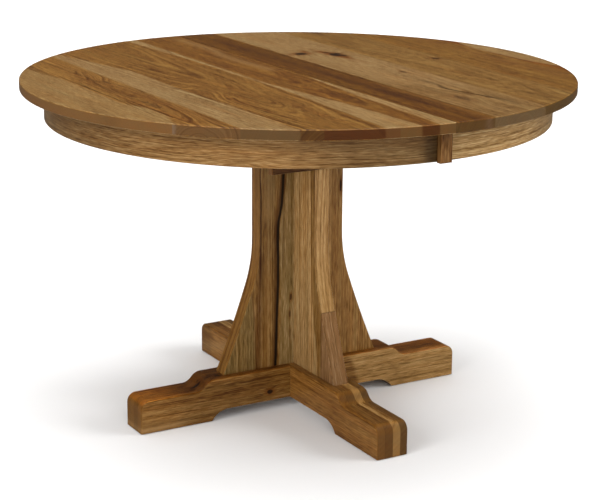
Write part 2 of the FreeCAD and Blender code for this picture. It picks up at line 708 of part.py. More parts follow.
def center_rail(label, side):
    yc = so * side
    body = doc.addObject("PartDesign::Body", label + "_body")
    slot = rg + 16.8                                    # rebate that the rack teeth run in
    reb = pitch_r - mod - 0.6                           # half width left between the racks
    pts = [
        (yc - cw, rail_z0, None), (yc + cw, rail_z0, None),
        (yc + cw, gl, None), (yc + cw - gd, gl, None), (yc + cw - gd, gh, None), (yc + cw, gh, None),
        (yc + cw, rack_z0 - 0.6, None), (yc + reb, rack_z0 - 0.6, None),
        (yc + reb, rack_z1 + 0.6, None), (yc + cw, rack_z1 + 0.6, None),
        (yc + cw, rail_z1, None), (yc - cw, rail_z1, None),
        (yc - cw, rack_z1 + 0.6, None), (yc - reb, rack_z1 + 0.6, None),
        (yc - reb, rack_z0 - 0.6, None), (yc - cw, rack_z0 - 0.6, None),
        (yc - cw, gh, None), (yc - cw + gd, gh, None), (yc - cw + gd, gl, None), (yc - cw, gl, None),
    ]
    pad(body, outline(body, "YZ_Plane", label + "_section", pts), hl * 2, symmetric=True)
    # round well for the pinion, open at the top
    well = disc(body, "XY_Plane", label + "_well", 0, yc, pitch_r + mod + 1.6)
    lift(well, d["pinion_low"] - 0.5)
    pocket(body, well, 60, reverse=True)
    axle = disc(body, "XY_Plane", label + "_axle_hole", 0, yc, d["axle_radius"])
    lift(axle, d["pinion_low"] - 14)
    pocket(body, axle, 60, reverse=True)
    # bolt holes with sunk heads
    for i, bx in enumerate(BOLT_X):
        hole = disc(body, "XY_Plane", "%s_bolt_%d" % (label, i), bx, yc, 4.3)
        lift(hole, rail_z0 - 5)
        pocket(body, hole, 90, reverse=True)
        sink = disc(body, "XY_Plane", "%s_bolt_sink_%d" % (label, i), bx, yc, 9.0)
        lift(sink, rail_z1 - 6)
        pocket(body, sink, 60, reverse=True)
    # cross holes for the stop pins
    for i, sx in enumerate((-STOP_X, STOP_X)):
        hole = disc(body, "XZ_Plane", "%s_stop_%d" % (label, i), sx, stop_z, 3.0)
        pocket(body, hole, 900, symmetric=True)
    return node(label, body)


center_rail("center_rail_front", -1)
center_rail("center_rail_back", 1)


def outer_rail(label, side, toward):
    """side: which slide (-1 front, +1 back). toward: +1 when the rail lies on the +Y side of its
    centre rail. The left half of the top rides on the rails with toward = -1."""
    yc = so * side
    t = toward
    left_half = t < 0
    inner = yc + (cw + rg) * t
    outer = inner + ow * t
    tip = inner - (rg + gd - tc) * t
    z_lo, z_hi = d["outer_rail_bottom"], under_z
    recess = inner + 9.0 * t
    pts = [
        (inner, z_lo, None), (outer, z_lo, None), (outer, z_hi, None), (inner, z_hi, None),
        (inner, rack_z1 + 0.05, None), (recess, rack_z1 + 0.05, None), (recess, rack_z0 - 0.05, None),
        (inner, rack_z0 - 0.05, None),
        (inner, gh - tc, None), (tip, gh - tc, None), (tip, gl + tc, None), (inner, gl + tc, None),
    ]
    x_lo, x_hi = (-le, hl) if left_half else (-hl, le)
    body = doc.addObject("PartDesign::Body", label + "_body")
    sk = outline(body, "YZ_Plane", label + "_section", pts)
    lift(sk, x_lo)
    pad(body, sk, x_hi - x_lo)
    # slot for the stop pin
    s0, s1 = (STOP_X - 3.6, STOP_X + d["travel"] + 4.0) if left_half else (-(d["travel"] + STOP_X + 4.0), -STOP_X + 3.6)
    slot = rect(body, "XZ_Plane", label + "_stop_slot", s0, s1, stop_z - 3.6, stop_z + 3.6)
    # the plane's normal is -Y, so the slot is cut from the inner face into the rail
    lift(slot, -(inner - 12 * t))
    pocket(body, slot, 12 + 7.0, reverse=(t < 0))
    # the length that runs under the other half of the top is planed down to clear it
    c0, c1 = (-3, hl + 10) if left_half else (-hl - 10, 3)
    y_a, y_b = (inner - 2 * t, outer + 2 * t) if t > 0 else (outer + 2 * t, inner - 2 * t)
    relief = rect(body, "XY_Plane", label + "_relief", c0, c1, y_a, y_b)
    lift(relief, z_hi - 1.0)
    pocket(body, relief, 10, reverse=True)
    # screw holes, from below into the top
    holes = RAIL_SCREWS_LEFT if left_half else RAIL_SCREWS_RIGHT
    yscrew = inner + (ow / 2.0 + 4) * t
    for i, x in enumerate(holes):
        hole = disc(body, "XY_Plane", "%s_screw_hole_%d" % (label, i), x, yscrew, 2.6)
        lift(hole, z_lo - 5)
        pocket(body, hole, 90, reverse=True)
        sink = disc(body, "XY_Plane", "%s_screw_sink_%d" % (label, i), x, yscrew, 5.5)
        lift(sink, z_lo - 5)
        pocket(body, sink, 5 + 14, reverse=True)
    return node(label, body), yscrew


RAIL_SCREWS_LEFT = [-345.0, -195.0, -45.0]
RAIL_SCREWS_RIGHT = [45.0, 195.0, 345.0]
screws_left, screws_right = [], []
for label, side, toward in (
    ("slide_rail_left_front", -1, -1),
    ("slide_rail_left_back", 1, -1),
    ("slide_rail_right_front", -1, 1),
    ("slide_rail_right_back", 1, 1),
):
    _, ys = outer_rail(label, side, toward)
    for i, x in enumerate(RAIL_SCREWS_LEFT if toward < 0 else RAIL_SCREWS_RIGHT):
        head = cyl("%s_screw_head_%d" % (label, i), 5.0, 3, x, ys, d["outer_rail_bottom"] + 11)
        shank = cyl("%s_screw_shank_%d" % (label, i), 2.5, under_z + 14 - (d["outer_rail_bottom"] + 14), x, ys,
                    d["outer_rail_bottom"] + 14)
        (screws_left if toward < 0 else screws_right).append(fuse("%s_screw_%d" % (label, i), head, shank))
node("rail_screws_left", group("rail_screw_left_set", *screws_left))
node("rail_screws_right", group("rail_screw_right_set", *screws_right))

# racks let into the outer rails
PITCH = math.pi * num(mod)
BACKLASH = 0.5


def rack(label, side, toward):
    yc = so * side
    t = toward
    left_half = t < 0
    inner = yc + (cw + rg) * t
    back = inner + 9.0 * t
    pitch_line = yc + pitch_r * t
    tip, root = pitch_line - mod * 0.9 * t, pitch_line + mod * 1.25 * t
    n_teeth = 56
    first = -4.5 if left_half else -(n_teeth - 4.5 - 1)
    x_lo = (first - 0.5) * PITCH
    x_hi = (first + n_teeth - 0.5) * PITCH
    body = doc.addObject("PartDesign::Body", label + "_body")
    ya, yb = (root, back) if t > 0 else (back, root)
    bar = rect(body, "XY_Plane", label + "_bar", x_lo, x_hi, ya, yb)
    lift(bar, rack_z0)
    pad(body, bar, rack_z1 - rack_z0)
    half_p = PITCH / 4.0 - BACKLASH / 2.0
    k = math.tan(math.radians(20))
    wr = half_p + 1.25 * num(mod) * k
    wt = half_p - 0.9 * num(mod) * k
    x0 = first * PITCH
    # tooth overlaps the bar a little so that the two join
    tooth = outline(body, "XY_Plane", label + "_tooth", [
        (x0 - wr, root + 0.5 * t, None), (x0 + wr, root + 0.5 * t, None),
        (x0 + wr, root, None), (x0 + wt, tip, None), (x0 - wt, tip, None), (x0 - wr, root, None)])
    lift(tooth, rack_z0)
    tooth_pad = pad(body, tooth, rack_z1 - rack_z0)
    doc.recompute()
    rep = body.newObject("PartDesign::LinearPattern", label + "_teeth")
    rep.Originals = [tooth_pad]
    rep.Direction = (bar, ["H_Axis"])
    rep.Length = (n_teeth - 1) * PITCH
    rep.Occurrences = n_teeth
    body.Tip = rep
    return node(label, body)


rack("rack_left_front", -1, -1)
rack("rack_left_back", 1, -1)
rack("rack_right_front", -1, 1)
rack("rack_right_back", 1, 1)


# pinions
def involute_tooth(module, teeth, clearance_top, backlash):
    """Half outline of one tooth about the +X axis, as points from root to tip."""
    rp = module * teeth / 2.0
    rb = rp * math.cos(math.radians(20))
    ra = rp + module * clearance_top
    rr = rp - module * 1.25
    inv = math.tan(math.radians(20)) - math.radians(20)
    half = math.pi / (2 * teeth) - backlash / (2 * rp)
    pts = []
    start = max(rb, rr)
    for i in range(7):
        r = start + (ra - start) * i / 6.0
        a = math.acos(min(1.0, rb / r))
        pts.append((r, half + inv - (math.tan(a) - a)))
    return rr, pts, ra


def pinion(label, side):
    yc = so * side
    teeth = int(num(d["pinion_teeth"]))
    rr, half_pts, ra = involute_tooth(num(mod), teeth, 0.9, BACKLASH)
    body = doc.addObject("PartDesign::Body", label + "_body")
    hub = disc(body, "XY_Plane", label + "_hub", 0, 0, pitch_r - mod * 1.25)
    lift(hub, d["pinion_low"])
    pad(body, hub, d["pinion_thickness"])
    a0 = half_pts[0][1]
    pts = [((rr - 1.5) * math.cos(-a0), (rr - 1.5) * math.sin(-a0), None)]
    pts += [(r * math.cos(-a), r * math.sin(-a), None) for r, a in half_pts]
    pts += [(r * math.cos(a), r * math.sin(a), None) for r, a in reversed(half_pts)]
    pts += [((rr - 1.5) * math.cos(a0), (rr - 1.5) * math.sin(a0), None)]
    tooth = outline(body, "XY_Plane", label + "_tooth", pts)
    lift(tooth, d["pinion_low"])
    tooth_pad = pad(body, tooth, d["pinion_thickness"])
    doc.recompute()
    rep = body.newObject("PartDesign::PolarPattern", label + "_teeth")
    rep.Originals = [tooth_pad]
    rep.Axis = (hub, ["N_Axis"])
    rep.Angle = 360
    rep.Occurrences = teeth
    body.Tip = rep
    doc.recompute()
    bore = disc(body, "XY_Plane", label + "_bore", 0, 0, d["axle_radius"] + d["axle_clearance"])
    lift(bore, d["pinion_low"] - 5)
    pocket(body, bore, 60, reverse=True)
    at(body, 0, yc, 0)
    return node(label, body)


pinion("pinion_front", -1)
pinion("pinion_back", 1)

axles, clips = [], []
for s in (-1, 1):
    nm = "axle_%s" % ("front" if s < 0 else "back")
    axles.append(cyl(nm, d["axle_radius"], 29.5, 0, so * s, d["pinion_low"] - 14))
    clips.append(cut(nm + "_clip", cyl(nm + "_clip_disc", 8.5, 1.4, 0, so * s, d["pinion_low"] + d["pinion_thickness"] + 0.4),
                     cyl(nm + "_clip_hole", d["axle_radius"], 5, 0, so * s, d["pinion_low"] + d["pinion_thickness"] - 2)))
node("pinion_axles", group("pinion_axle_set", *axles))
node("pinion_clips", group("pinion_clip_set", *clips))

# stop pins in the centre rails, reaching into the slots of the outer rails on one side each
stops = []
for s in (-1, 1):
    for t in (-1, 1):
        x = STOP_X if t < 0 else -STOP_X
        nm = "stop_%s%s" % ("f" if s < 0 else "b", "l" if t < 0 else "r")
        ya = so * s - cw * t * 0.9
        stops.append(cyl(nm, 3.0, cw * 1.9 + rg + 6.0, x, ya, stop_z, "+Y" if t > 0 else "-Y"))
node("slide_stop_pins", group("slide_stop_pin_set", *stops))

# bolts that hold the centre rails on the plate
bolts, nuts = [], []
for i, (x, y) in enumerate([(bx, s * so) for bx in BOLT_X for s in (-1, 1)]):
    head = cyl("slide_bolt_head_%d" % i, 8.2, 4.2, x, y, rail_z1 - 6)
    shank = cyl("slide_bolt_shank_%d" % i, 4.0, rail_z1 - 6 - (plate_z0 - 13), x, y, plate_z0 - 13)
    bolts.append(fuse("slide_bolt_%d" % i, head, shank))
    washer = cyl("slide_washer_%d" % i, 9.5, 1.6, x, y, plate_z0 - 1.6)
    nut = prism("slide_nut_%d" % i, 6, 13, 6.5, x, y, plate_z0 - 8.1)
    nuts.append(cut("slide_nut_fit_%d" % i, fuse("slide_nut_blank_%d" % i, washer, nut),
                    cyl("slide_nut_bore_%d" % i, 4.0, 30, x, y, plate_z0 - 20)))
node("slide_bolts", group("slide_bolt_set", *bolts))
node("slide_nuts", group("slide_nut_set", *nuts))

# ================================================================== TABLE LATCHES
ly = d["latch_y"]
PIVOT_X = 24.0
KEEP_X = -22.0
ARM = PIVOT_X - KEEP_X


def latch(tag, side):
    yc = ly * side
    # plate with pivot post, under the right half
    plate = cut("latch_plate_%s_flat" % tag,
                box("latch_plate_%s_blank" % tag, 8, 42, yc - 30, yc + 30, under_z - 2.5, under_z),
                *[cyl("latch_plate_%s_hole%d" % (tag, i), 2.3, 10, 25, yc + q, under_z - 5) for i, q in enumerate((-23, 23))])
    shoulder = cyl("latch_post_%s_shoulder" % tag, 7.0, 5.2, PIVOT_X, yc, under_z - 7.7)
    post = cyl("latch_post_%s_pin" % tag, 4.0, 5.0, PIVOT_X, yc, under_z - 12.4)
    cap = cyl("latch_post_%s_cap" % tag, 7.0, 2.4, PIVOT_X, yc, under_z - 14.6)
    pivot = fuse("latch_base_%s" % tag, plate, shoulder, post, cap)
    # keeper with its post, under the left half
    kplate = cut("keeper_%s_flat" % tag,
                 box("keeper_%s_blank" % tag, -40, -6, yc - 30, yc + 30, under_z - 2.5, under_z),
                 *[cyl("keeper_%s_hole%d" % (tag, i), 2.3, 10, -22, yc + q, under_z - 5) for i, q in enumerate((-23, 23))])
    kpost = cyl("keeper_%s_post" % tag, 3.5, 13.5, KEEP_X, yc, under_z - 14.6)
    kcap = cyl("keeper_%s_cap" % tag, 5.5, 1.6, KEEP_X, yc, under_z - 15.6)
    keeper = fuse("keeper_%s" % tag, kplate, kpost, kcap)
    # lever, swung clear of the seam: it points along +Y at rest
    body = doc.addObject("PartDesign::Body", "latch_lever_%s_body" % tag)
    sk = outline(body, "XY_Plane", "lever_%s_outline" % tag, [
        (-9, -30, (9.6, +1)), (9, -30, None), (9, ARM + 13, None), (4, ARM + 18, None), (-4, ARM + 18, None),
        (-9, ARM + 13, None), (-9, ARM + 4.6, None), (4.4, ARM + 4.6, None), (4.4, ARM - 5.6, None),
        (-9, ARM - 5.6, None)])
    lift(sk, under_z - 11.8)
    pad(body, sk, 3.6)
    hole = disc(body, "XY_Plane", "lever_%s_bore" % tag, 0, 0, 4.05)
    lift(hole, under_z - 20)
    pocket(body, hole, 40, reverse=True)
    # finger tab turned down at the tail
    tab = rect(body, "XY_Plane", "lever_%s_tab" % tag, -8, 8, -38.5, -35)
    lift(tab, under_z - 24)
    pad(body, tab, 15.8)
    at(body, PIVOT_X, yc, 0)
    node("latch_lever_%s" % tag, body)
    scr_r = []
    scr_l = []
    for i, q in enumerate((-23, 23)):
        for nm, x, lst in (("latch", 25, scr_r), ("keeper", -22, scr_l)):
            h = cyl("%s_screw_%s_head%d" % (nm, tag, i), 3.9, 1.8, x, yc + q, under_z - 4.3)
            sh = cyl("%s_screw_%s_shank%d" % (nm, tag, i), 2.2, 14.5, x, yc + q, under_z - 2.5)
            lst.append(fuse("%s_screw_%s_%d" % (nm, tag, i), h, sh))
    return pivot, keeper, scr_r, scr_l


pf, kf, rf, lf = latch("front", -1)
pb, kb, rb, lb = latch("back", 1)
node("latch_bases", group("latch_base_set", pf, pb))
node("latch_keepers", group("latch_keeper_set", kf, kb))
node("latch_screws", group("latch_screw_set", *(rf + rb)))
node("keeper_screws", group("keeper_screw_set", *(lf + lb)))

# ================================================================== checks and output
doc.recompute()
bad = []
for o in doc.Objects:
    if any(s in ("Invalid", "Error") for s in o.State):
        bad.append("%s %s" % (o.Name, o.State))
for body_name, before, after in CHECKS:
    if before.Shape.isNull() or after.Shape.isNull():
        bad.append("%s: a feature has no shape (%s, %s)" % (body_name, before.Label, after.Label))
        continue
    v0, v1 = before.Shape.Volume, after.Shape.Volume
    if not v1 < v0 - 1e-6:
        bad.append("pocket in %s cuts nothing (%s)" % (body_name, after.Profile[0].Name if after.Profile else after.Name))
for label, o in NODES:
    s = o.Shape
    if s.isNull() or not s.isValid() or not s.Solids:
        bad.append("%s has no valid solid" % label)
if len({label for label, _ in NODES}) != len(NODES):
    bad.append("two sub-parts share a name")
if bad:
    raise SystemExit("model not written:\n" + "\n".join(bad))

for old in os.listdir("parts"):
    if old.endswith(".step") and old[:-5] not in {label for label, _ in NODES}:
        os.remove(os.path.join("parts", old))
for label, o in NODES:
    o.Shape.exportStep("parts/%s.step" % label)
    bb = o.Shape.BoundBox
    print("%-26s solids %2d  vol %10.0f  x %8.1f %8.1f  y %8.1f %8.1f  z %7.1f %7.1f" % (
        label, len(o.Shape.Solids), o.Shape.Volume, bb.XMin, bb.XMax, bb.YMin, bb.YMax, bb.ZMin, bb.ZMax))
print("nodes", len(NODES))
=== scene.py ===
import math

import bmesh
import bpy
from mathutils import Matrix, Vector


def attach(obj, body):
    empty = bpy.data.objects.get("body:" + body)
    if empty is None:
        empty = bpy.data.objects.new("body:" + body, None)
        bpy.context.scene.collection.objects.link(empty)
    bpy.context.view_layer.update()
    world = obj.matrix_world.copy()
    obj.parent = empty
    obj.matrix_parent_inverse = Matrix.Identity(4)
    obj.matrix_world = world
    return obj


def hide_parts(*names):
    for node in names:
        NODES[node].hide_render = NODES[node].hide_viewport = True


# Round pedestal extension table in rustic hickory. Metres, CAD frame.
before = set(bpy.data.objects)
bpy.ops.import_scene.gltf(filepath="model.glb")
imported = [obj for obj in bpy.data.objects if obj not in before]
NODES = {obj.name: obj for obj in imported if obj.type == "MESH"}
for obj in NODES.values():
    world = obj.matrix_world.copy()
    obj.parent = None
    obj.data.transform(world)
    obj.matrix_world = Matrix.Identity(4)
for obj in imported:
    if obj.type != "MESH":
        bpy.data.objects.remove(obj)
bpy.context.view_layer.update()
MM = 0.001


# ------------------------------------------------------------------ colour helpers
def lin(r, g, b):
    """Screen colour 0-255 to linear."""
    out = []
    for c in (r, g, b):
        c = c / 255.0
        out.append(c / 12.92 if c <= 0.04045 else ((c + 0.055) / 1.055) ** 2.4)
    return out


def stain(r, g, b):
    """Wood colour as seen, less the pale gloss that the finish adds under this light."""
    return [max(c - v, 0.25 * c) for c, v in zip(lin(r, g, b), (0.006, 0.007, 0.008))]


def rgba(c, k=1.0):
    return (min(c[0] * k, 1.0), min(c[1] * k, 1.0), min(c[2] * k, 1.0), 1.0)


# ------------------------------------------------------------------ node graph helper
class Graph:
    def __init__(self, name):
        self.mat = bpy.data.materials.new(name)
        self.mat.use_nodes = True
        self.t = self.mat.node_tree
        self.t.nodes.clear()
        self.count = 0
        out = self.new("ShaderNodeOutputMaterial")
        self.bsdf = self.new("ShaderNodeBsdfPrincipled")
        self.t.links.new(self.bsdf.outputs["BSDF"], out.inputs["Surface"])

    def new(self, kind):
        n = self.t.nodes.new(kind)
        n.location = (-220 * (self.count % 12), -260 * (self.count // 12))
        self.count += 1
        return n

    def put(self, socket, value):
        if isinstance(value, bpy.types.NodeSocket):
            self.t.links.new(value, socket)
        else:
            socket.default_value = value

    def m(self, op, a, b=0.0, c=0.0, clamp=False):
        n = self.new("ShaderNodeMath")
        n.operation = op
        n.use_clamp = clamp
        for s, v in zip(n.inputs, (a, b, c)):
            self.put(s, v)
        return n.outputs[0]

    def add(self, *terms):
        r = terms[0]
        for t in terms[1:]:
            r = self.m("ADD", r, t)
        return r

    def mul(self, *terms):
        r = terms[0]
        for t in terms[1:]:
            r = self.m("MULTIPLY", r, t)
        return r

    def sub(self, a, b):
        return self.m("SUBTRACT", a, b)

    def inv(self, a):
        return self.m("SUBTRACT", 1.0, a)

    def vec(self, x, y, z):
        n = self.new("ShaderNodeCombineXYZ")
        for s, v in zip(n.inputs, (x, y, z)):
            self.put(s, v)
        return n.outputs[0]

    def sep(self, v):
        n = self.new("ShaderNodeSeparateXYZ")
        self.put(n.inputs[0], v)
        return n.outputs[0], n.outputs[1], n.outputs[2]

    def object_mm(self):
        """Position in millimetres and surface normal, both in the part's own frame."""
        tc = self.new("ShaderNodeTexCoord")
        n = self.new("ShaderNodeVectorMath")
        n.operation = "SCALE"
        self.put(n.inputs[0], tc.outputs["Object"])
        n.inputs["Scale"].default_value = 1000.0
        return self.sep(n.outputs[0]), self.sep(tc.outputs["Normal"])

    def noise(self, vec, detail=2.0, rough=0.5, scale=1.0, w=None, dist=0.0):
        n = self.new("ShaderNodeTexNoise")
        n.noise_dimensions = "1D" if vec is None else "3D"
        n.normalize = True
        if vec is None:
            self.put(n.inputs["W"], w)
        else:
            self.put(n.inputs["Vector"], vec)
        n.inputs["Scale"].default_value = scale
        n.inputs["Detail"].default_value = detail
        n.inputs["Roughness"].default_value = rough
        n.inputs["Distortion"].default_value = dist
        return n.outputs[0]

    def step(self, x, lo, hi, a=0.0, b=1.0):
        """Smooth ramp from a at lo to b at hi."""
        n = self.new("ShaderNodeMapRange")
        n.interpolation_type = "SMOOTHSTEP"
        for s, v in zip(n.inputs, (x, lo, hi, a, b)):
            self.put(s, v)
        return n.outputs[0]

    def spread(self, x, lo, hi, a=0.0, b=1.0):
        n = self.new("ShaderNodeMapRange")
        n.interpolation_type = "LINEAR"
        n.clamp = True
        for s, v in zip(n.inputs, (x, lo, hi, a, b)):
            self.put(s, v)
        return n.outputs[0]

    def bell(self, x, half):
        """exp(-(x/half)^2)"""
        q = self.m("DIVIDE", x, half)
        return self.m("EXPONENT", self.mul(self.mul(q, q), -1.0))

    def line(self, x, pts):
        """A smooth line through a few points (x, y), flat beyond its ends."""
        pts = sorted(pts)
        x0, x1 = pts[0][0], pts[-1][0]
        y0, y1 = min(p[1] for p in pts), max(p[1] for p in pts)
        if y1 - y0 < 1e-6:
            return y0
        t = self.spread(x, x0, x1)
        n = self.new("ShaderNodeFloatCurve")
        c = n.mapping.curves[0]
        norm = [((p[0] - x0) / (x1 - x0), (p[1] - y0) / (y1 - y0)) for p in pts]
        c.points[0].location = norm[0]
        c.points[1].location = norm[-1]
        for p in norm[1:-1]:
            c.points.new(*p)
        n.mapping.update()
        n.inputs["Factor"].default_value = 1.0
        self.put(n.inputs["Value"], t)
        return self.m("MULTIPLY_ADD", n.outputs[0], y1 - y0, y0)

    def mix(self, fac, a, b, mode="MIX"):
        n = self.new("ShaderNodeMix")
        n.data_type = "RGBA"
        n.blend_type = mode
        n.clamp_factor = True
        self.put(n.inputs[0], fac)
        for s, v in ((n.inputs[6], a), (n.inputs[7], b)):
            self.put(s, v)
        return n.outputs[2]

    def ramp(self, x, stops):
        n = self.new("ShaderNodeValToRGB")
        n.color_ramp.interpolation = "EASE"
        e = n.color_ramp.elements
        e[0].position, e[0].color = stops[0]
        e[1].position, e[1].color = stops[-1]
        for p, c in stops[1:-1]:
            k = e.new(p)
            k.color = c
        self.put(n.inputs[0], x)
        return n.outputs[0]

    def bump(self, height, distance, strength=1.0):
        n = self.new("ShaderNodeBump")
        n.inputs["Strength"].default_value = strength
        n.inputs["Distance"].default_value = distance
        self.put(n.inputs["Height"], height)
        self.t.links.new(n.outputs[0], self.bsdf.inputs["Normal"])


# ------------------------------------------------------------------ wood colours
LIFT = 0.84
SAP = [stain(118, 82, 44), stain(156, 120, 76), stain(184, 151, 104)]
TAN = [stain(100, 67, 34), stain(142, 105, 61), stain(172, 136, 88)]
MID = [stain(88, 54, 25), stain(131, 91, 47), stain(160, 120, 68)]
RED = [stain(80, 46, 22), stain(119, 78, 41), stain(148, 106, 62)]
DARK = [stain(60, 35, 18), stain(95, 61, 33), stain(124, 86, 50)]
GREY = [stain(78, 56, 33), stain(114, 86, 52), stain(140, 111, 70)]
KNOT = [0.020, 0.0075, 0.0012]
HALO = stain(112, 66, 28)
STREAK = stain(44, 28, 16)


# how each part's heartwood and sapwood lie to the palettes above
TONES = {
    "hickory_left_1": ((0.852, 0.833, 0.717), (0.852, 0.833, 0.717)),
    "hickory_left_2": ((1.018, 0.974, 0.756), (0.852, 0.833, 0.717)),
    "hickory_left_3": ((0.962, 0.925, 0.704), (0.86, 0.864, 0.82)),
    "hickory_left_4": ((0.922, 0.888, 0.665), (0.906, 0.926, 0.892)),
    "hickory_left_5": ((0.977, 0.965, 0.547), (0.906, 0.926, 0.892)),
    "hickory_right_1": ((1.079, 1.017, 0.336), (1.079, 1.017, 0.336)),
    "hickory_right_2": ((0.856, 0.857, 0.813), (0.856, 0.857, 0.813)),
    "hickory_right_3": ((0.853, 0.798, 0.558), (0.853, 0.798, 0.558)),
    "hickory_right_4": ((0.862, 0.838, 0.571), (0.862, 0.838, 0.571)),
    "hickory_right_5": ((0.776, 0.536, 0.174), (0.861, 0.877, 0.824)),
    "hickory_apron_left": ((1.04, 1.043, 1.067), (1, 1, 1)),
    "hickory_apron_right": ((1.125, 1.272, 1.533), (1, 1, 1)),
    "hickory_block_front": ((0.954, 0.924, 1.076), (1, 1, 1)),
    # The panel and wing gains, near two in blue, also brighten these boards against the shade under the top: painted
    # light.
    "hickory_panel": ((1.458, 1.657, 2.073), (1, 1, 1)),
    "hickory_wing_front": ((1.435, 1.579, 1.901), (1, 1, 1)),
    "hickory_foot_x": ((1.241, 1.25, 1.248), (0.684, 0.59, 0.486)),
    "hickory_foot_y": ((1.031, 0.968, 0.888), (1, 1, 1)),
    "hickory_block_back": ((0.954, 0.924, 1.076), (1, 1, 1)),
    "hickory_wing_back": ((1.458, 1.657, 2.073), (1, 1, 1)),
}


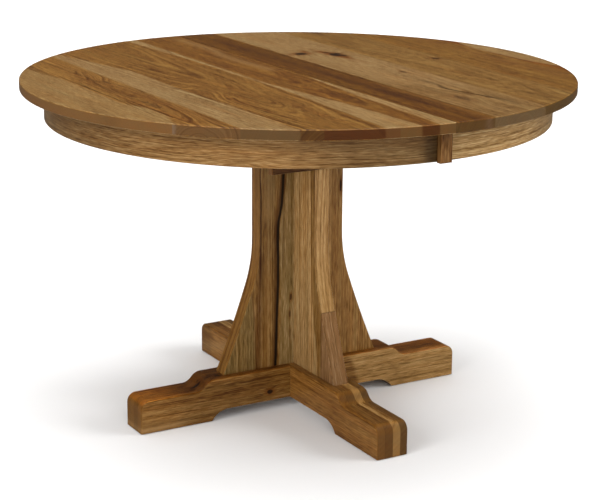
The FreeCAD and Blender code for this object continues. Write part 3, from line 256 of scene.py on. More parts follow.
def wood(name, grain, heart, sapwood=SAP, seed=0.0, pith=(0.0, -32.0), tilt=(0.0, 0.035), ring=3.4,
         figure=1.0, warp=9.0, sap=(), zones=(), streaks=(), knots=(), splits=None, tone=1.0, fade=(),
         grit=1.0, end_grain_and_painted_light_tone=0.45, top=None, top_fade=(), narrow=None, rough=0.33, coat=0.0, pores=1.0):
    """Clear-finished hickory. u runs along the grain, v across the face, w through the thickness.
    sap: (side, [(u, v)...], softness) keeps sapwood on that side of the line.
    zones: (side, [(u, v)...], softness, palette) puts other heartwood on that side of the line.
    streaks: ([(u, v)...], half width, strength, colour, (u from, u to)).
    knots: (u, v, length, width, dark, ring bump[, w, depth]).
    splits: ("v" or "w", [limits], [(tone, shift)...]), a tone being one number or (r, g, b).
    end tone: one number or (r, g, b) on the end grain, on a board of the top on its whole
    rim; in places it also holds painted light: painted shade on a rim, a painted highlight on
    a rounded arris and on the lit ends of the cleats. top, top_fade: palette and tone line of
    the faces that look up, on the foot partly painted shade.
    narrow: (palette, |v| limit, palette beyond it) on the narrow faces that look along v."""
    g = Graph(name)
    (x, y, z), (nx, ny, nz) = g.object_mm()
    if grain == "Y":        # boards of the top: v is X, w is depth below the upper face
        u, v, w, nu = y, x, g.sub(z, 762.0), ny
    elif grain == "Xf":     # foot along X: v is height, w across
        u, v, w, nu = x, z, y, nx
    elif grain == "Yf":
        u, v, w, nu = y, z, x, ny
    elif grain == "Zx":     # upright, broad face across X
        u, v, w, nu = z, x, y, nz
    elif grain == "Zy":
        u, v, w, nu = z, y, x, nz
    elif grain == "X":      # flat, grain along X
        u, v, w, nu = x, y, z, nx
    elif grain == "Xv":     # upright face, grain along X
        u, v, w, nu = x, z, y, nx
    else:                   # bent band: u runs round the rim
        sx = -1.0 if grain == "bendL" else 1.0
        ang = g.m("ARCTAN2", y, g.mul(x, sx))
        u = g.mul(ang, 558.0)
        rad = g.m("SQRT", g.add(g.mul(x, x), g.mul(y, y)))
        v, w, nu = z, g.sub(rad, 558.0), 0.0

    end = g.step(g.m("ABSOLUTE", nu), 0.28, 0.80) if not isinstance(nu, float) else 0.0
    cut = g.step(g.m("ABSOLUTE", nu), 0.06, 0.50) if not isinstance(nu, float) else 0.0
    if grain == "Y":
        end = cut = g.step(g.m("ABSOLUTE", nz), 0.30, 0.70, 1.0, 0.0)
    if narrow:
        cut = end
        slim = g.m("GREATER_THAN", g.m("ABSOLUTE", nx if grain == "Zx" else ny), 0.70)
    # separate boards glued together inside one part
    tone_v = [tone] * 3
    us, vs, ws = u, v, w
    if splits:
        axis, limits, boards = splits
        q = v if axis == "v" else w
        tones = [b[0] if isinstance(b[0], tuple) else (b[0],) * 3 for b in boards]
        shift, tn, seam = boards[0][1], list(tones[0]), None
        for i, b in enumerate(limits):
            on = g.m("GREATER_THAN", q, b)
            shift = g.add(shift, g.mul(on, boards[i + 1][1] - boards[i][1]))
            for k in range(3):
                tn[k] = g.m("MULTIPLY_ADD", on, tones[i + 1][k] - tones[i][k], tn[k])
            near = g.bell(g.sub(q, b), 0.45)
            seam = near if seam is None else g.m("MAXIMUM", seam, near)
        us = g.add(u, g.mul(shift, 631.0))
        vs = g.add(v, g.mul(shift, 17.0))
        tone_v = [g.mul(k, tone) for k in tn]

    if narrow:              # the grain follows the shaped edge
        vs = g.mul(vs, g.m("MULTIPLY_ADD", slim, -0.94, 1.0))
        us = g.m("MULTIPLY_ADD", slim, 350.0, us)

    s = float(seed)
    wob1 = g.sub(g.noise(g.vec(g.m("MULTIPLY_ADD", us, 1 / 260.0, s * 1.7), g.m("MULTIPLY_ADD", vs, 1 / 75.0, s), g.mul(ws, 1 / 90.0)), 2.0, 0.5), 0.5)
    wob2 = g.sub(g.noise(g.vec(g.m("MULTIPLY_ADD", us, 1 / 85.0, s * 2.3), g.m("MULTIPLY_ADD", vs, 1 / 15.0, -s), g.mul(ws, 1 / 30.0)), 2.0, 0.55), 0.5)
    vv = g.add(vs, g.mul(wob1, warp * 2.2), g.mul(wob2, warp * 0.34))
    pa = g.sub(vv, g.m("MULTIPLY_ADD", us, tilt[0], pith[0]))
    pb = g.sub(ws, g.m("MULTIPLY_ADD", us, tilt[1], pith[1]))
    pb = g.add(pb, g.mul(wob1, warp * 1.8))
    f = g.m("SQRT", g.add(g.mul(pa, pa), g.mul(pb, pb)))
    fibre = g.noise(g.vec(g.mul(us, 1 / 22.0), g.m("MULTIPLY_ADD", vs, 1 / 0.9, s * 7.0), g.mul(ws, 1 / 0.9)), 3.0, 0.6)
    # rings bend round the knots
    core = halo = None
    for ku, kv, kl, kw, dark, amp, *deep in knots:
        du = g.m("DIVIDE", g.add(g.sub(u, ku), g.mul(wob1, kl * 0.8)), kl)
        dv = g.m("DIVIDE", g.add(g.sub(v, kv), g.mul(wob2, kw * 1.2), g.mul(g.sub(fibre, 0.5), kw * 0.9)), kw)
        dd = g.add(g.mul(du, du), g.mul(dv, dv))
        if deep:
            dw = g.m("DIVIDE", g.sub(w, deep[0]), deep[1])
            dd = g.add(dd, g.mul(dw, dw))
        f = g.add(f, g.mul(g.m("EXPONENT", g.mul(dd, -0.22)), amp))
        if dark > 0.0:
            dist = g.m("SQRT", dd)
            c = g.mul(g.step(dist, 0.70, 0.96, 1.0, 0.0), dark)
            h = g.mul(g.step(dist, 0.85, 2.1, 1.0, 0.0), min(dark, 1.0) * 0.75)
            core = c if core is None else g.m("MAXIMUM", core, c)
            halo = h if halo is None else g.m("MAXIMUM", halo, h)
    ph = g.m("DIVIDE", f, ring)
    bands = g.noise(None, 3.0, 0.62, w=g.add(g.mul(ph, 0.75), s * 13.1 + 3.7))
    saw = g.m("FRACT", g.add(ph, g.mul(wob2, 0.5)))
    early = g.mul(g.step(saw, 0.0, 0.16), g.step(saw, 0.16, 0.62, 1.0, 0.0))
    pigment = g.noise(g.vec(g.mul(us, 1 / 620.0), g.mul(f, 1 / 13.0), s * 3.1), 2.5, 0.5)
    cloud = g.noise(g.vec(g.m("MULTIPLY_ADD", us, 1 / 170.0, s), g.mul(vs, 1 / 45.0), g.mul(ws, 1 / 45.0)), 2.0, 0.5)
    vl = g.add(vs, g.mul(wob1, warp * 0.9))
    lines = g.noise(g.vec(g.mul(us, 1 / 120.0), g.m("MULTIPLY_ADD", vl, 1 / 3.1, s * 3.0), g.mul(ws, 1 / 3.1)), 2.0, 0.6)
    ticks = g.noise(g.vec(g.mul(us, 1 / 26.0), g.m("MULTIPLY_ADD", vl, 1 / 2.3, s * 9.0), g.mul(ws, 1 / 2.3)), 1.0, 0.5)
    lines = g.add(g.mul(lines, 0.45), g.mul(ticks, 0.65), -0.05)
    cross = g.mul(g.m("MULTIPLY_ADD", cut, -0.8, 1.0), grit)
    flecks = g.noise(g.vec(g.mul(us, 1 / 15.0), g.m("MULTIPLY_ADD", vl, 1 / 1.5, s * 4.0), g.mul(ws, 1 / 1.5)), 1.0, 0.5)
    fleck = g.mul(g.step(flecks, 0.56, 0.70), cross)
    dash = g.noise(g.vec(g.mul(us, 1 / 5.5), g.m("MULTIPLY_ADD", vs, 1 / 0.42, s * 5.0), g.mul(ws, 1 / 0.42)), 1.0, 0.5)
    pore = g.mul(g.step(dash, 0.56, 0.70), g.m("MULTIPLY_ADD", early, 0.75, 0.25), pores)

    # figure value, 0 dark to 1 light
    t = g.add(0.54, g.mul(g.sub(bands, 0.5), 1.9 * figure), g.mul(g.sub(pigment, 0.5), 0.9 * figure), g.mul(g.sub(cloud, 0.5), 0.55),
              g.mul(g.sub(fibre, 0.5), cross, 1.3), g.mul(g.sub(lines, 0.5), cross, 2.5), g.mul(early, -0.16 * figure))
    t = g.m("ADD", t, 0.0, clamp=True)
    if not isinstance(end, float):
        t = g.add(t, g.mul(cut, g.sub(0.46, t), 0.58 if grain == "Y" else 0.42))
    gain, sap_gain = TONES.get(name, ((1, 1, 1), (1, 1, 1)))
    zones = [(a, b, c, [[q * k for q, k in zip(h, gain)] for h in d]) for a, b, c, d in zones]
    heart = [[c * k for c, k in zip(h, gain)] for h in heart]
    sapwood = [[c * k for c, k in zip(h, sap_gain)] for h in sapwood]
    colour = g.ramp(t, [(0.0, rgba(heart[0])), (0.52, rgba(heart[1])), (1.0, rgba(heart[2]))])
    for side, pts, soft, palette in zones:
        edge = g.add(g.line(u, pts), g.mul(wob2, 5.0), g.mul(wob1, 4.0))
        zc = g.ramp(t, [(0.0, rgba(palette[0])), (0.52, rgba(palette[1])), (1.0, rgba(palette[2]))])
        colour = g.mix(g.step(g.mul(g.sub(v, edge), float(side)), -soft, soft), colour, zc)
    if sap:
        ts = g.add(0.52, g.mul(g.sub(bands, 0.5), 1.2 * figure), g.mul(g.sub(cloud, 0.5), 0.55), g.mul(g.sub(fibre, 0.5), cross, 1.3),
                   g.mul(g.sub(lines, 0.5), cross, 2.5), g.mul(early, -0.10))
        if not isinstance(end, float):
            ts = g.add(ts, g.mul(cut, g.sub(0.5, ts), 0.82))
        sc = g.ramp(ts, [(0.0, rgba(sapwood[0])), (0.5, rgba(sapwood[1])), (1.0, rgba(sapwood[2]))])
        mask = None
        for side, pts, soft in sap:
            edge = g.add(g.line(u, pts), g.mul(wob2, 9.0), g.mul(wob1, 5.0))
            dd = g.mul(g.sub(v, edge), float(side))
            k = g.step(dd, -soft, soft)
            mask = k if mask is None else g.m("MAXIMUM", mask, k)
        colour = g.mix(mask, colour, sc)
    if top:
        tc = g.ramp(t, [(0.0, rgba(top[0])), (0.52, rgba(top[1])), (1.0, rgba(top[2]))])
        if top_fade:
            tf = g.line(u, top_fade)
            tc = g.mix(1.0, tc, g.vec(tf, tf, tf), "MULTIPLY")
        colour = g.mix(g.step(nz, 0.45, 0.75), colour, tc)
    for pts, half, strength, tint, span in streaks:
        off = g.sub(g.add(v, g.mul(wob2, half * 0.8)), g.line(u, pts))
        k = g.mul(g.bell(off, half), strength, g.step(u, span[0] - 25.0, span[0] + 25.0), g.step(u, span[1] - 25.0, span[1] + 25.0, 1.0, 0.0))
        k = g.mul(k, g.m("MULTIPLY_ADD", bands, 0.9, 0.55))
        colour = g.mix(k, colour, rgba(tint))
    if narrow:
        inside, limit, beyond = narrow
        ec = g.ramp(t, [(0.0, rgba(inside[0])), (0.52, rgba(inside[1])), (1.0, rgba(inside[2]))])
        if beyond:
            bc = g.ramp(t, [(0.0, rgba(beyond[0])), (0.52, rgba(beyond[1])), (1.0, rgba(beyond[2]))])
            ec = g.mix(g.m("GREATER_THAN", g.m("ABSOLUTE", v), limit), ec, bc)
        colour = g.mix(slim, colour, ec)
    if halo is not None:
        colour = g.mix(halo, colour, rgba(HALO))
        colour = g.mix(core, colour, rgba(KNOT))
    if splits:
        colour = g.mix(g.mul(seam, 0.45), colour, rgba(STREAK))
    # hue wanders between olive and orange along the board
    hue = g.noise(g.vec(g.m("MULTIPLY_ADD", us, 1 / 330.0, s * 5.0), g.mul(vv, 1 / 16.0), g.mul(ws, 1 / 24.0)), 2.0, 0.5)
    tint = g.ramp(hue, [(0.25, (0.94, 1.0, 1.04, 1)), (0.5, (1.0, 1.0, 1.0, 1)), (0.75, (1.06, 0.99, 0.90, 1))])
    colour = g.mix(1.0, colour, tint, "MULTIPLY")
    # flecks, pores, the end tone (end grain, in places painted shade and painted highlight) and the board's own tone
    colour = g.mix(g.mul(fleck, 0.30), colour, rgba(STREAK))
    colour = g.mix(g.mul(pore, 0.42), colour, rgba(STREAK))
    ends = end_grain_and_painted_light_tone if isinstance(end_grain_and_painted_light_tone, tuple) else (end_grain_and_painted_light_tone,) * 3
    k = []
    for kk, e in zip(tone_v, ends):
        kk = g.mul(kk, LIFT)
        if fade:
            kk = g.mul(g.line(u, fade), kk)
        if not isinstance(end, float):
            kk = g.mul(g.m("MULTIPLY_ADD", end, e - 1.0, 1.0), kk)
        k.append(kk)
    colour = g.mix(1.0, colour, g.vec(*k), "MULTIPLY")
    g.t.links.new(colour, g.bsdf.inputs["Base Color"])
    rr = g.add(rough, g.mul(g.sub(fibre, 0.5), 0.10), g.mul(pore, 0.12), g.mul(end, 0.10))
    g.t.links.new(rr, g.bsdf.inputs["Roughness"])
    if coat > 0:
        g.bsdf.inputs["Coat Weight"].default_value = coat
        g.bsdf.inputs["Coat Roughness"].default_value = 0.28
    g.bsdf.inputs["Specular IOR Level"].default_value = 0.24
    hgt = g.add(g.mul(fibre, 0.35), g.mul(early, -0.25), g.mul(pore, -0.9))
    g.bump(hgt, 0.00018, 0.55)
    return g.mat


def metal(name, base, rough, seed=0.0, brushed=(1.0, 1.0, 40.0), grain=0.12):
    """Plated steel: fine drawn lines, cloudy plating and faint handling marks."""
    g = Graph(name)
    (x, y, z), _ = g.object_mm()
    lines = g.noise(g.vec(g.mul(x, brushed[0] / 6.0), g.mul(y, brushed[1] / 6.0), g.m("MULTIPLY_ADD", z, brushed[2] / 6.0, seed)), 3.0, 0.6)
    cloud = g.noise(g.vec(g.mul(x, 1 / 9.0), g.mul(y, 1 / 9.0), g.m("MULTIPLY_ADD", z, 1 / 9.0, seed + 4.0)), 3.0, 0.55)
    spots = g.step(g.noise(g.vec(g.mul(x, 1 / 2.2), g.mul(y, 1 / 2.2), g.mul(z, 1 / 2.2)), 2.0, 0.5), 0.62, 0.72)
    t = g.add(0.5, g.mul(g.sub(cloud, 0.5), 0.8), g.mul(g.sub(lines, 0.5), 0.4))
    c = g.ramp(t, [(0.0, rgba(base, 0.72)), (0.5, rgba(base)), (1.0, rgba(base, 1.18))])
    c = g.mix(g.mul(spots, 0.25), c, rgba(base, 0.5))
    g.t.links.new(c, g.bsdf.inputs["Base Color"])
    g.bsdf.inputs["Metallic"].default_value = 1.0
    g.t.links.new(g.add(rough, g.mul(g.sub(lines, 0.5), grain), g.mul(g.sub(cloud, 0.5), 0.14)), g.bsdf.inputs["Roughness"])
    g.bump(lines, 0.00006, 0.35)
    return g.mat


def plastic(name, base, rough, seed=0.0):
    g = Graph(name)
    (x, y, z), _ = g.object_mm()
    grainy = g.noise(g.vec(g.mul(x, 1 / 0.8), g.mul(y, 1 / 0.8), g.m("MULTIPLY_ADD", z, 1 / 0.8, seed)), 2.0, 0.6)
    cloud = g.noise(g.vec(g.mul(x, 1 / 14.0), g.mul(y, 1 / 14.0), g.mul(z, 1 / 14.0)), 3.0, 0.5)
    c = g.ramp(g.add(0.5, g.mul(g.sub(cloud, 0.5), 0.9), g.mul(g.sub(grainy, 0.5), 0.3)),
               [(0.0, rgba(base, 0.75)), (0.5, rgba(base)), (1.0, rgba(base, 1.25))])
    g.t.links.new(c, g.bsdf.inputs["Base Color"])
    g.t.links.new(g.add(rough, g.mul(g.sub(grainy, 0.5), 0.15)), g.bsdf.inputs["Roughness"])
    g.bump(grainy, 0.00008, 0.4)
    return g.mat


# ------------------------------------------------------------------ mesh helpers
def finish_mesh(name, verts, faces, material, smooth_deg=34.0):
    me = bpy.data.meshes.new(name)
    me.from_pydata([tuple(v) for v in verts], [], faces)
    bm = bmesh.new()
    bm.from_mesh(me)
    bmesh.ops.remove_doubles(bm, verts=bm.verts, dist=1e-6)
    bmesh.ops.dissolve_degenerate(bm, dist=1e-7, edges=bm.edges)
    bmesh.ops.recalc_face_normals(bm, faces=bm.faces)
    bm.to_mesh(me)
    bm.free()
    ob = bpy.data.objects.new(name, me)
    bpy.context.scene.collection.objects.link(ob)
    me.materials.append(material)
    me.shade_smooth()
    me.set_sharp_from_angle(angle=math.radians(smooth_deg))
    return ob


def weighted(ob):
    m = ob.modifiers.new("face_weighted", "WEIGHTED_NORMAL")
    m.keep_sharp = True
    m.weight = 80
    return ob


def cut_away(ob, cutters):
    """Takes the closed cutter objects out of ob, then removes them."""
    for c in cutters:
        m = ob.modifiers.new("cut", "BOOLEAN")
        m.operation = "DIFFERENCE"
        m.solver = "EXACT"
        m.object = c
    bpy.context.view_layer.update()
    dg = bpy.context.evaluated_depsgraph_get()
    me = bpy.data.meshes.new_from_object(ob.evaluated_get(dg))
    ob.modifiers.clear()
    old = ob.data
    ob.data = me
    bpy.data.meshes.remove(old)
    for c in cutters:
        data = c.data
        bpy.data.objects.remove(c)
        bpy.data.meshes.remove(data)
    me.set_sharp_from_angle(angle=math.radians(34.0))
    return ob


TOP_R, TOP_Z, UNDER_Z = 0.6096, 0.762, 0.740
EASE = 0.003


def top_board(name, x0, x1, ease0, ease1, material, cutters=()):
    """One board of the round top. The rim is rounded over by EASE, the long edges by ease0 and ease1."""
    steps = [0.0, 18.0, 36.0, 54.0, 72.0, 90.0]
    levels = []
    for a in steps:                                    # lower arris, then upper arris
        c = math.radians(a)
        levels.append((EASE * (1 - math.sin(c)), UNDER_Z + EASE * (1 - math.cos(c))))
    for a in reversed(steps):
        c = math.radians(a)
        levels.append((EASE * (1 - math.sin(c)), TOP_Z - EASE * (1 - math.cos(c))))

    def side(r, z):
        if r <= 0:
            return 0.0
        d = min(z - UNDER_Z, TOP_Z - z)
        return 0.0 if d >= r else r - math.sqrt(max(r * r - (r - d) ** 2, 0.0))

    n = max(6, int(abs(x1 - x0) / 0.006))
    verts, faces = [], []
    rows = []
    for inset, z in levels:
        rho = TOP_R - inset
        xa = max(x0 + side(ease0, z), -rho)
        xb = min(x1 - side(ease1, z), rho)
        a0, a1 = math.asin(max(-1.0, xa / rho)), math.asin(min(1.0, xb / rho))
        front, back = [], []
        for j in range(n + 1):
            al = a0 + (a1 - a0) * j / n
            front.append(len(verts))
            verts.append((rho * math.sin(al), -rho * math.cos(al), z))
            back.append(len(verts))
            verts.append((rho * math.sin(al), rho * math.cos(al), z))
        rows.append((front, back))
    for k in range(len(rows) - 1):
        (f0, b0), (f1, b1) = rows[k], rows[k + 1]
        for j in range(n):
            faces.append((f0[j], f0[j + 1], f1[j + 1], f1[j]))
            faces.append((b0[j + 1], b0[j], b1[j], b1[j + 1]))
        faces.append((b0[0], f0[0], f1[0], b1[0]))
        faces.append((f0[n], b0[n], b1[n], f1[n]))
    for (f, b), flip in ((rows[0], True), (rows[-1], False)):
        for j in range(n):
            q = (f[j], f[j + 1], b[j + 1], b[j])
            faces.append(tuple(reversed(q)) if flip else q)
    ob = finish_mesh(name, verts, faces, material)
    if cutters:
        cut_away(ob, cutters)
    return weighted(ob)


def rod(name, r, x0, x1, y, z, n=28):
    """Closed cutter along X."""
    verts, faces = [], []
    for x in (x0, x1):
        for i in range(n):
            a = 2 * math.pi * i / n
            verts.append((x, y + r * math.cos(a), z + r * math.sin(a)))
    for i in range(n):
        faces.append((i, (i + 1) % n, n + (i + 1) % n, n + i))
    faces.append(tuple(reversed(range(n))))
    faces.append(tuple(range(n, 2 * n)))
    me = bpy.data.meshes.new(name)
    me.from_pydata(verts, [], faces)
    bm = bmesh.new()
    bm.from_mesh(me)
    bmesh.ops.recalc_face_normals(bm, faces=bm.faces)
    bm.to_mesh(me)
    bm.free()
    ob = bpy.data.objects.new(name, me)
    bpy.context.scene.collection.objects.link(ob)
    return ob


def check_crack(name, pts, width, depth):
    """Closed V-shaped cutter that leaves a drying crack in the upper face. pts: (x, y) in metres."""
    dense = []
    for i in range(len(pts) - 1):
        for k in range(5):
            t = k / 5.0
            x = pts[i][0] + (pts[i + 1][0] - pts[i][0]) * t
            y = pts[i][1] + (pts[i + 1][1] - pts[i][1]) * t
            dense.append((x + 0.0007 * math.sin(31.0 * (i + t)), y))
    dense.append(pts[-1])
    n = len(dense)
    verts, faces = [], []
    for i, (x, y) in enumerate(dense):
        k = math.sin(math.pi * min(max(i / (n - 1), 0.02), 0.98)) ** 0.6
        hw = width * 0.5 * k
        verts += [(x - hw, y, TOP_Z + 0.001), (x + hw, y, TOP_Z + 0.001), (x, y, TOP_Z - depth * k)]
    for i in range(n - 1):
        a, b = 3 * i, 3 * (i + 1)
        faces += [(a, a + 1, b + 1, b), (a + 1, a + 2, b + 2, b + 1), (a + 2, a, b, b + 2)]
    faces.append((0, 2, 1))
    m = 3 * (n - 1)
    faces.append((m, m + 1, m + 2))
    me = bpy.data.meshes.new(name)
    me.from_pydata(verts, [], faces)
    bm = bmesh.new()
    bm.from_mesh(me)
    bmesh.ops.recalc_face_normals(bm, faces=bm.faces)
    bm.to_mesh(me)
    bm.free()
    ob = bpy.data.objects.new(name, me)
    bpy.context.scene.collection.objects.link(ob)
    return ob


# ------------------------------------------------------------------ boards of the top
# u = Y (front rim -610, back rim +610), v = X, in millimetres
J = [-487.0, -393.0, -260.0, -120.0, -0.2, 0.2, 97.0, 257.0, 400.0, 545.0]

# Rim tones: left_1's rim is darkened as painted shade, and left_2's rim is paled towards blue as a painted highlight of
# the rounded arris.
left_1 = wood("hickory_left_1", "Y", MID, end_grain_and_painted_light_tone=(0.60, 0.51, 0.44), seed=1.3, pith=(-700.0, -60.0), tilt=(0.01, 0.02), ring=3.8, figure=0.75,
              sap=[(-1, [(-600, -400), (100, -420), (200, -493), (330, -505), (600, -520)], 4.0)],
              streaks=[([(-300, -560), (400, -548)], 9.0, 0.16, TAN[0], (-280, 330))])
left_2 = wood("hickory_left_2", "Y", MID, end_grain_and_painted_light_tone=(0.60, 0.66, 1.15), seed=2.9, pith=(-440.0, -14.0), tilt=(0.02, 0.03), ring=2.9, figure=1.5, warp=12.0,
              sap=[(-1, [(-600, -486), (-420, -486), (-345, -479), (-262, -463), (-170, -475), (-120, -489), (600, -495)], 3.5)],
              streaks=[([(-230, -455), (-150, -443), (0, -452), (200, -432), (420, -458)], 4.0, 0.34, STREAK, (-120, 420)),
                       ([(-130, -470), (-40, -480), (110, -472)], 2.8, 0.42, STREAK, (-130, 120)),
                       ([(-210, -437), (-130, -442)], 4.0, 0.45, STREAK, (-205, -135)),
                       ([(-600, -410), (300, -402)], 10.0, 0.30, RED[1], (-420, 60))],
              knots=[(97, -419, 26, 9, 0.35, 18.0)])
left_3 = wood("hickory_left_3", "Y", MID, end_grain_and_painted_light_tone=(0.40, 0.36, 0.31), seed=4.2, pith=(-258.0, -20.0), tilt=(-0.05, 0.05), ring=4.2, figure=1.35, warp=8.0,
              sap=[(-1, [(-600, -300), (-426, -303), (-257, -306), (-160, -311), (-7, -315), (152, -312), (260, -328), (389, -352), (500, -372), (600, -392)], 3.0)],
              knots=[(-98, -274, 42, 15, 0.10, 30.0)])
left_4 = wood("hickory_left_4", "Y", MID, end_grain_and_painted_light_tone=(0.36, 0.235, 0.135), seed=6.1, pith=(-215.0, -46.0), tilt=(0.02, 0.045), ring=4.6, figure=0.8, warp=10.0,
              sap=[(1, [(-600, -151), (-450, -141), (-300, -134), (-170, -128), (-50, -128), (50, -129), (250, -131), (400, -139), (600, -147)], 2.6)],
              streaks=[([(-420, -196), (-250, -190)], 9.0, 0.25, RED[0], (-380, -300))],
              knots=[(-450, -190, 22, 9, 0.30, 14.0), (-338, -190, 9, 16, 0.25, 6.0)])
left_5 = wood("hickory_left_5", "Y", RED, end_grain_and_painted_light_tone=(0.37, 0.295, 0.19), tone=1.04, seed=7.7, pith=(-58.0, -22.0), tilt=(0.01, 0.05), ring=3.8, figure=0.85, warp=9.0,
              sap=[(-1, [(-600, -75), (-450, -83), (-300, -96), (-170, -110), (-80, -119), (0, -128), (600, -150)], 3.5),
                   (1, [(-600, -37), (-400, -28), (-250, -20), (-150, -12), (-60, -4), (0, 8), (600, 10)], 3.0)],
              streaks=[([(-100, -36), (100, -34), (250, -40), (400, -22), (600, -30)], 13.0, 0.28, TAN[2], (60, 560))],
              knots=[(-215, -60, 30, 17, 0.0, 9.0), (-11, -34, 20, 7, 0.25, 10.0), (350, -35, 60, 14, 0.0, 14.0)])
right_1 = wood("hickory_right_1", "Y", DARK, end_grain_and_painted_light_tone=(0.74, 0.97, 2.9), seed=9.4, pith=(150.0, -70.0), tilt=(0.01, 0.02), ring=3.6, figure=0.9, warp=10.0,
               streaks=[([(-600, 44), (-200, 52), (200, 58), (600, 66)], 15.0, 0.36, DARK[0], (-420, 520)),
                        ([(-600, 82), (0, 90)], 9.0, 0.30, MID[1], (-620, -180))])
right_2 = wood("hickory_right_2", "Y", TAN, end_grain_and_painted_light_tone=(0.53, 0.60, 0.84), seed=11.2, pith=(190.0, -26.0), tilt=(0.015, 0.04), ring=3.8, figure=0.75, warp=8.0,
               sap=[(1, [(-600, 430), (-420, 350), (-60, 60), (600, 30)], 90.0)],
               streaks=[([(-468, 220), (-429, 209), (-398, 205), (-370, 200), (-333, 190), (-304, 185), (-250, 196)], 1.7, 1.4, STREAK, (-445, -275)),
                        ([(-540, 222), (-468, 220), (-398, 205), (-333, 190), (-304, 185), (-250, 196), (-150, 190)], 5.0, 0.65, GREY[0], (-500, -190)),
                        ([(120, 205), (200, 199), (238, 188), (242, 160)], 8.0, 1.3, HALO, (120, 262)),
                        ([(60, 196), (150, 204), (240, 200)], 13.0, 0.30, HALO, (40, 262)),
                        ([(-600, 150), (-480, 158), (-330, 150), (-200, 156)], 14.0, 0.30, GREY[1], (-600, -210)),
                        ([(-600, 235), (-450, 228), (-100, 236)], 8.0, 0.22, GREY[1], (-560, -150))],
               knots=[(226, 136, 15, 21, 1.0, 14.0), (178, 202, 25, 14, 1.0, 20.0), (160, 214, 15, 9, 0.9, 6.0), (192, 216, 12, 8, 0.85, 6.0), (212, 196, 10, 9, 0.7, 6.0), (-90, 217, 17, 6, 0.65, 8.0), (-408, 155, 34, 13, 0.42, 16.0)])
right_3 = wood("hickory_right_3", "Y", TAN, end_grain_and_painted_light_tone=(0.42, 0.44, 0.46), seed=13.6, pith=(330.0, -60.0), tilt=(0.01, 0.035), ring=4.2, figure=0.7, warp=9.0, tone=0.93,
               knots=[(26, 382, 13, 9, 0.75, 12.0)])
right_4 = wood("hickory_right_4", "Y", MID, end_grain_and_painted_light_tone=(0.58, 0.60, 0.64), seed=15.1, pith=(520.0, -48.0), tilt=(0.02, 0.03), ring=4.0, figure=0.75, warp=9.0, tone=1.04,
               streaks=[([(-400, 500), (0, 512), (400, 505)], 22.0, 0.30, RED[1], (-300, 420))],
               knots=[(222, 525, 12, 5, 0.45, 6.0)])
right_5 = wood("hickory_right_5", "Y", MID, end_grain_and_painted_light_tone=(0.84, 0.89, 1.10), seed=16.8, pith=(700.0, -50.0), tilt=(0.01, 0.02), ring=3.8, figure=0.8,
               sap=[(1, [(-320, 640), (-190, 573), (-100, 556), (0, 549), (150, 551), (230, 640)], 4.0)])

PIN_Y = [-0.455, -0.152, 0.152, 0.455]
pin_z = (TOP_Z + UNDER_Z) / 2
parts = []
left_specs = [(-0.6096, J[0], 0, 0, left_1), (J[0], J[1], 0, 0, left_2), (J[1], J[2], 0, 0, left_3),
              (J[2], J[3], 0, 0, left_4), (J[3], J[4], 0, 0.0007, left_5)]
for i, (a, b, ea, eb, mat) in enumerate(left_specs):
    a = a if abs(a) < 1 else a * MM
    cutters = [rod("bore_l%d" % k, 0.00405, -0.0202, 0.02, y, pin_z) for k, y in enumerate(PIN_Y)] if i == 4 else []
    ob = top_board("board_left_%d" % (i + 1), a, b * MM, ea, eb, mat, cutters)
    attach(ob, "top_left")
    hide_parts("top_left_board_%d" % (i + 1))
    parts.append(ob)
right_specs = [(J[5], J[6], 0.0007, 0, right_1), (J[6], J[7], 0, 0, right_2), (J[7], J[8], 0, 0, right_3),
               (J[8], J[9], 0, 0, right_4), (J[9], 609.6, 0, 0, right_5)]
for i, (a, b, ea, eb, mat) in enumerate(right_specs):
    cutters = []
    if i == 0:
        cutters = [rod("bore_r%d" % k, 0.0044, -0.005, 0.015, y, pin_z) for k, y in enumerate(PIN_Y)]
    if i == 1:
        cutters = [check_crack("drying_crack", [(0.196, -0.250), (0.185, -0.304), (0.190, -0.333), (0.200, -0.370),
                                                (0.205, -0.398), (0.209, -0.429), (0.220, -0.468)], 0.0013, 0.0018)]
    ob = top_board("board_right_%d" % (i + 1), a * MM, b * MM, ea, eb, mat, cutters)
    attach(ob, "top_right")
    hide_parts("top_right_board_%d" % (i + 1))
    parts.append(ob)


# ------------------------------------------------------------------ pedestal boards
FT, FH = 38.1, 107.9
FIN_TOP, FLARE_Z, MID_Z, MID_X, FOOT_X, FOOT_Z = 655.0, 397.0, 290.0, 125.6, 199.5, 98.0


def flare_curve():
    """Outer edge from the top down with its outward normals: straight, then two tangent arcs."""
    udx, udz = MID_X - FH, FLARE_Z - MID_Z
    ru = (udx * udx + udz * udz) / (2 * udx)
    ldx, ldz = FOOT_X - MID_X, MID_Z - FOOT_Z
    rl = (ldx * ldx + ldz * ldz) / (2 * (ldx * (ru - udx) / ru - ldz * udz / ru))
    pts = []
    for k in range(9):
        pts.append((FH, FIN_TOP + (FLARE_Z - FIN_TOP) * k / 9.0, 1.0, 0.0))
    # first arc: centre straight out from the curve's start
    cx, cz = FH + ru, FLARE_Z
    a1 = math.asin(udz / ru)
    for k in range(17):
        a = a1 * k / 16.0
        pts.append((cx - ru * math.cos(a), cz - ru * math.sin(a), math.cos(a), math.sin(a)))
    # second arc shares the tangent at the middle point
    nx, nz = math.cos(a1), math.sin(a1)
    cx, cz = MID_X + rl * nx, MID_Z + rl * nz
    b0 = math.atan2(MID_Z - cz, MID_X - cx)
    b1 = math.atan2(FOOT_Z - cz, FOOT_X - cx)
    for k in range(1, 25):
        b = b0 + (b1 - b0) * k / 24.0
        px, pz = cx + rl * math.cos(b), cz + rl * math.sin(b)
        pts.append((px, pz, -math.cos(b), -math.sin(b)))
    return pts


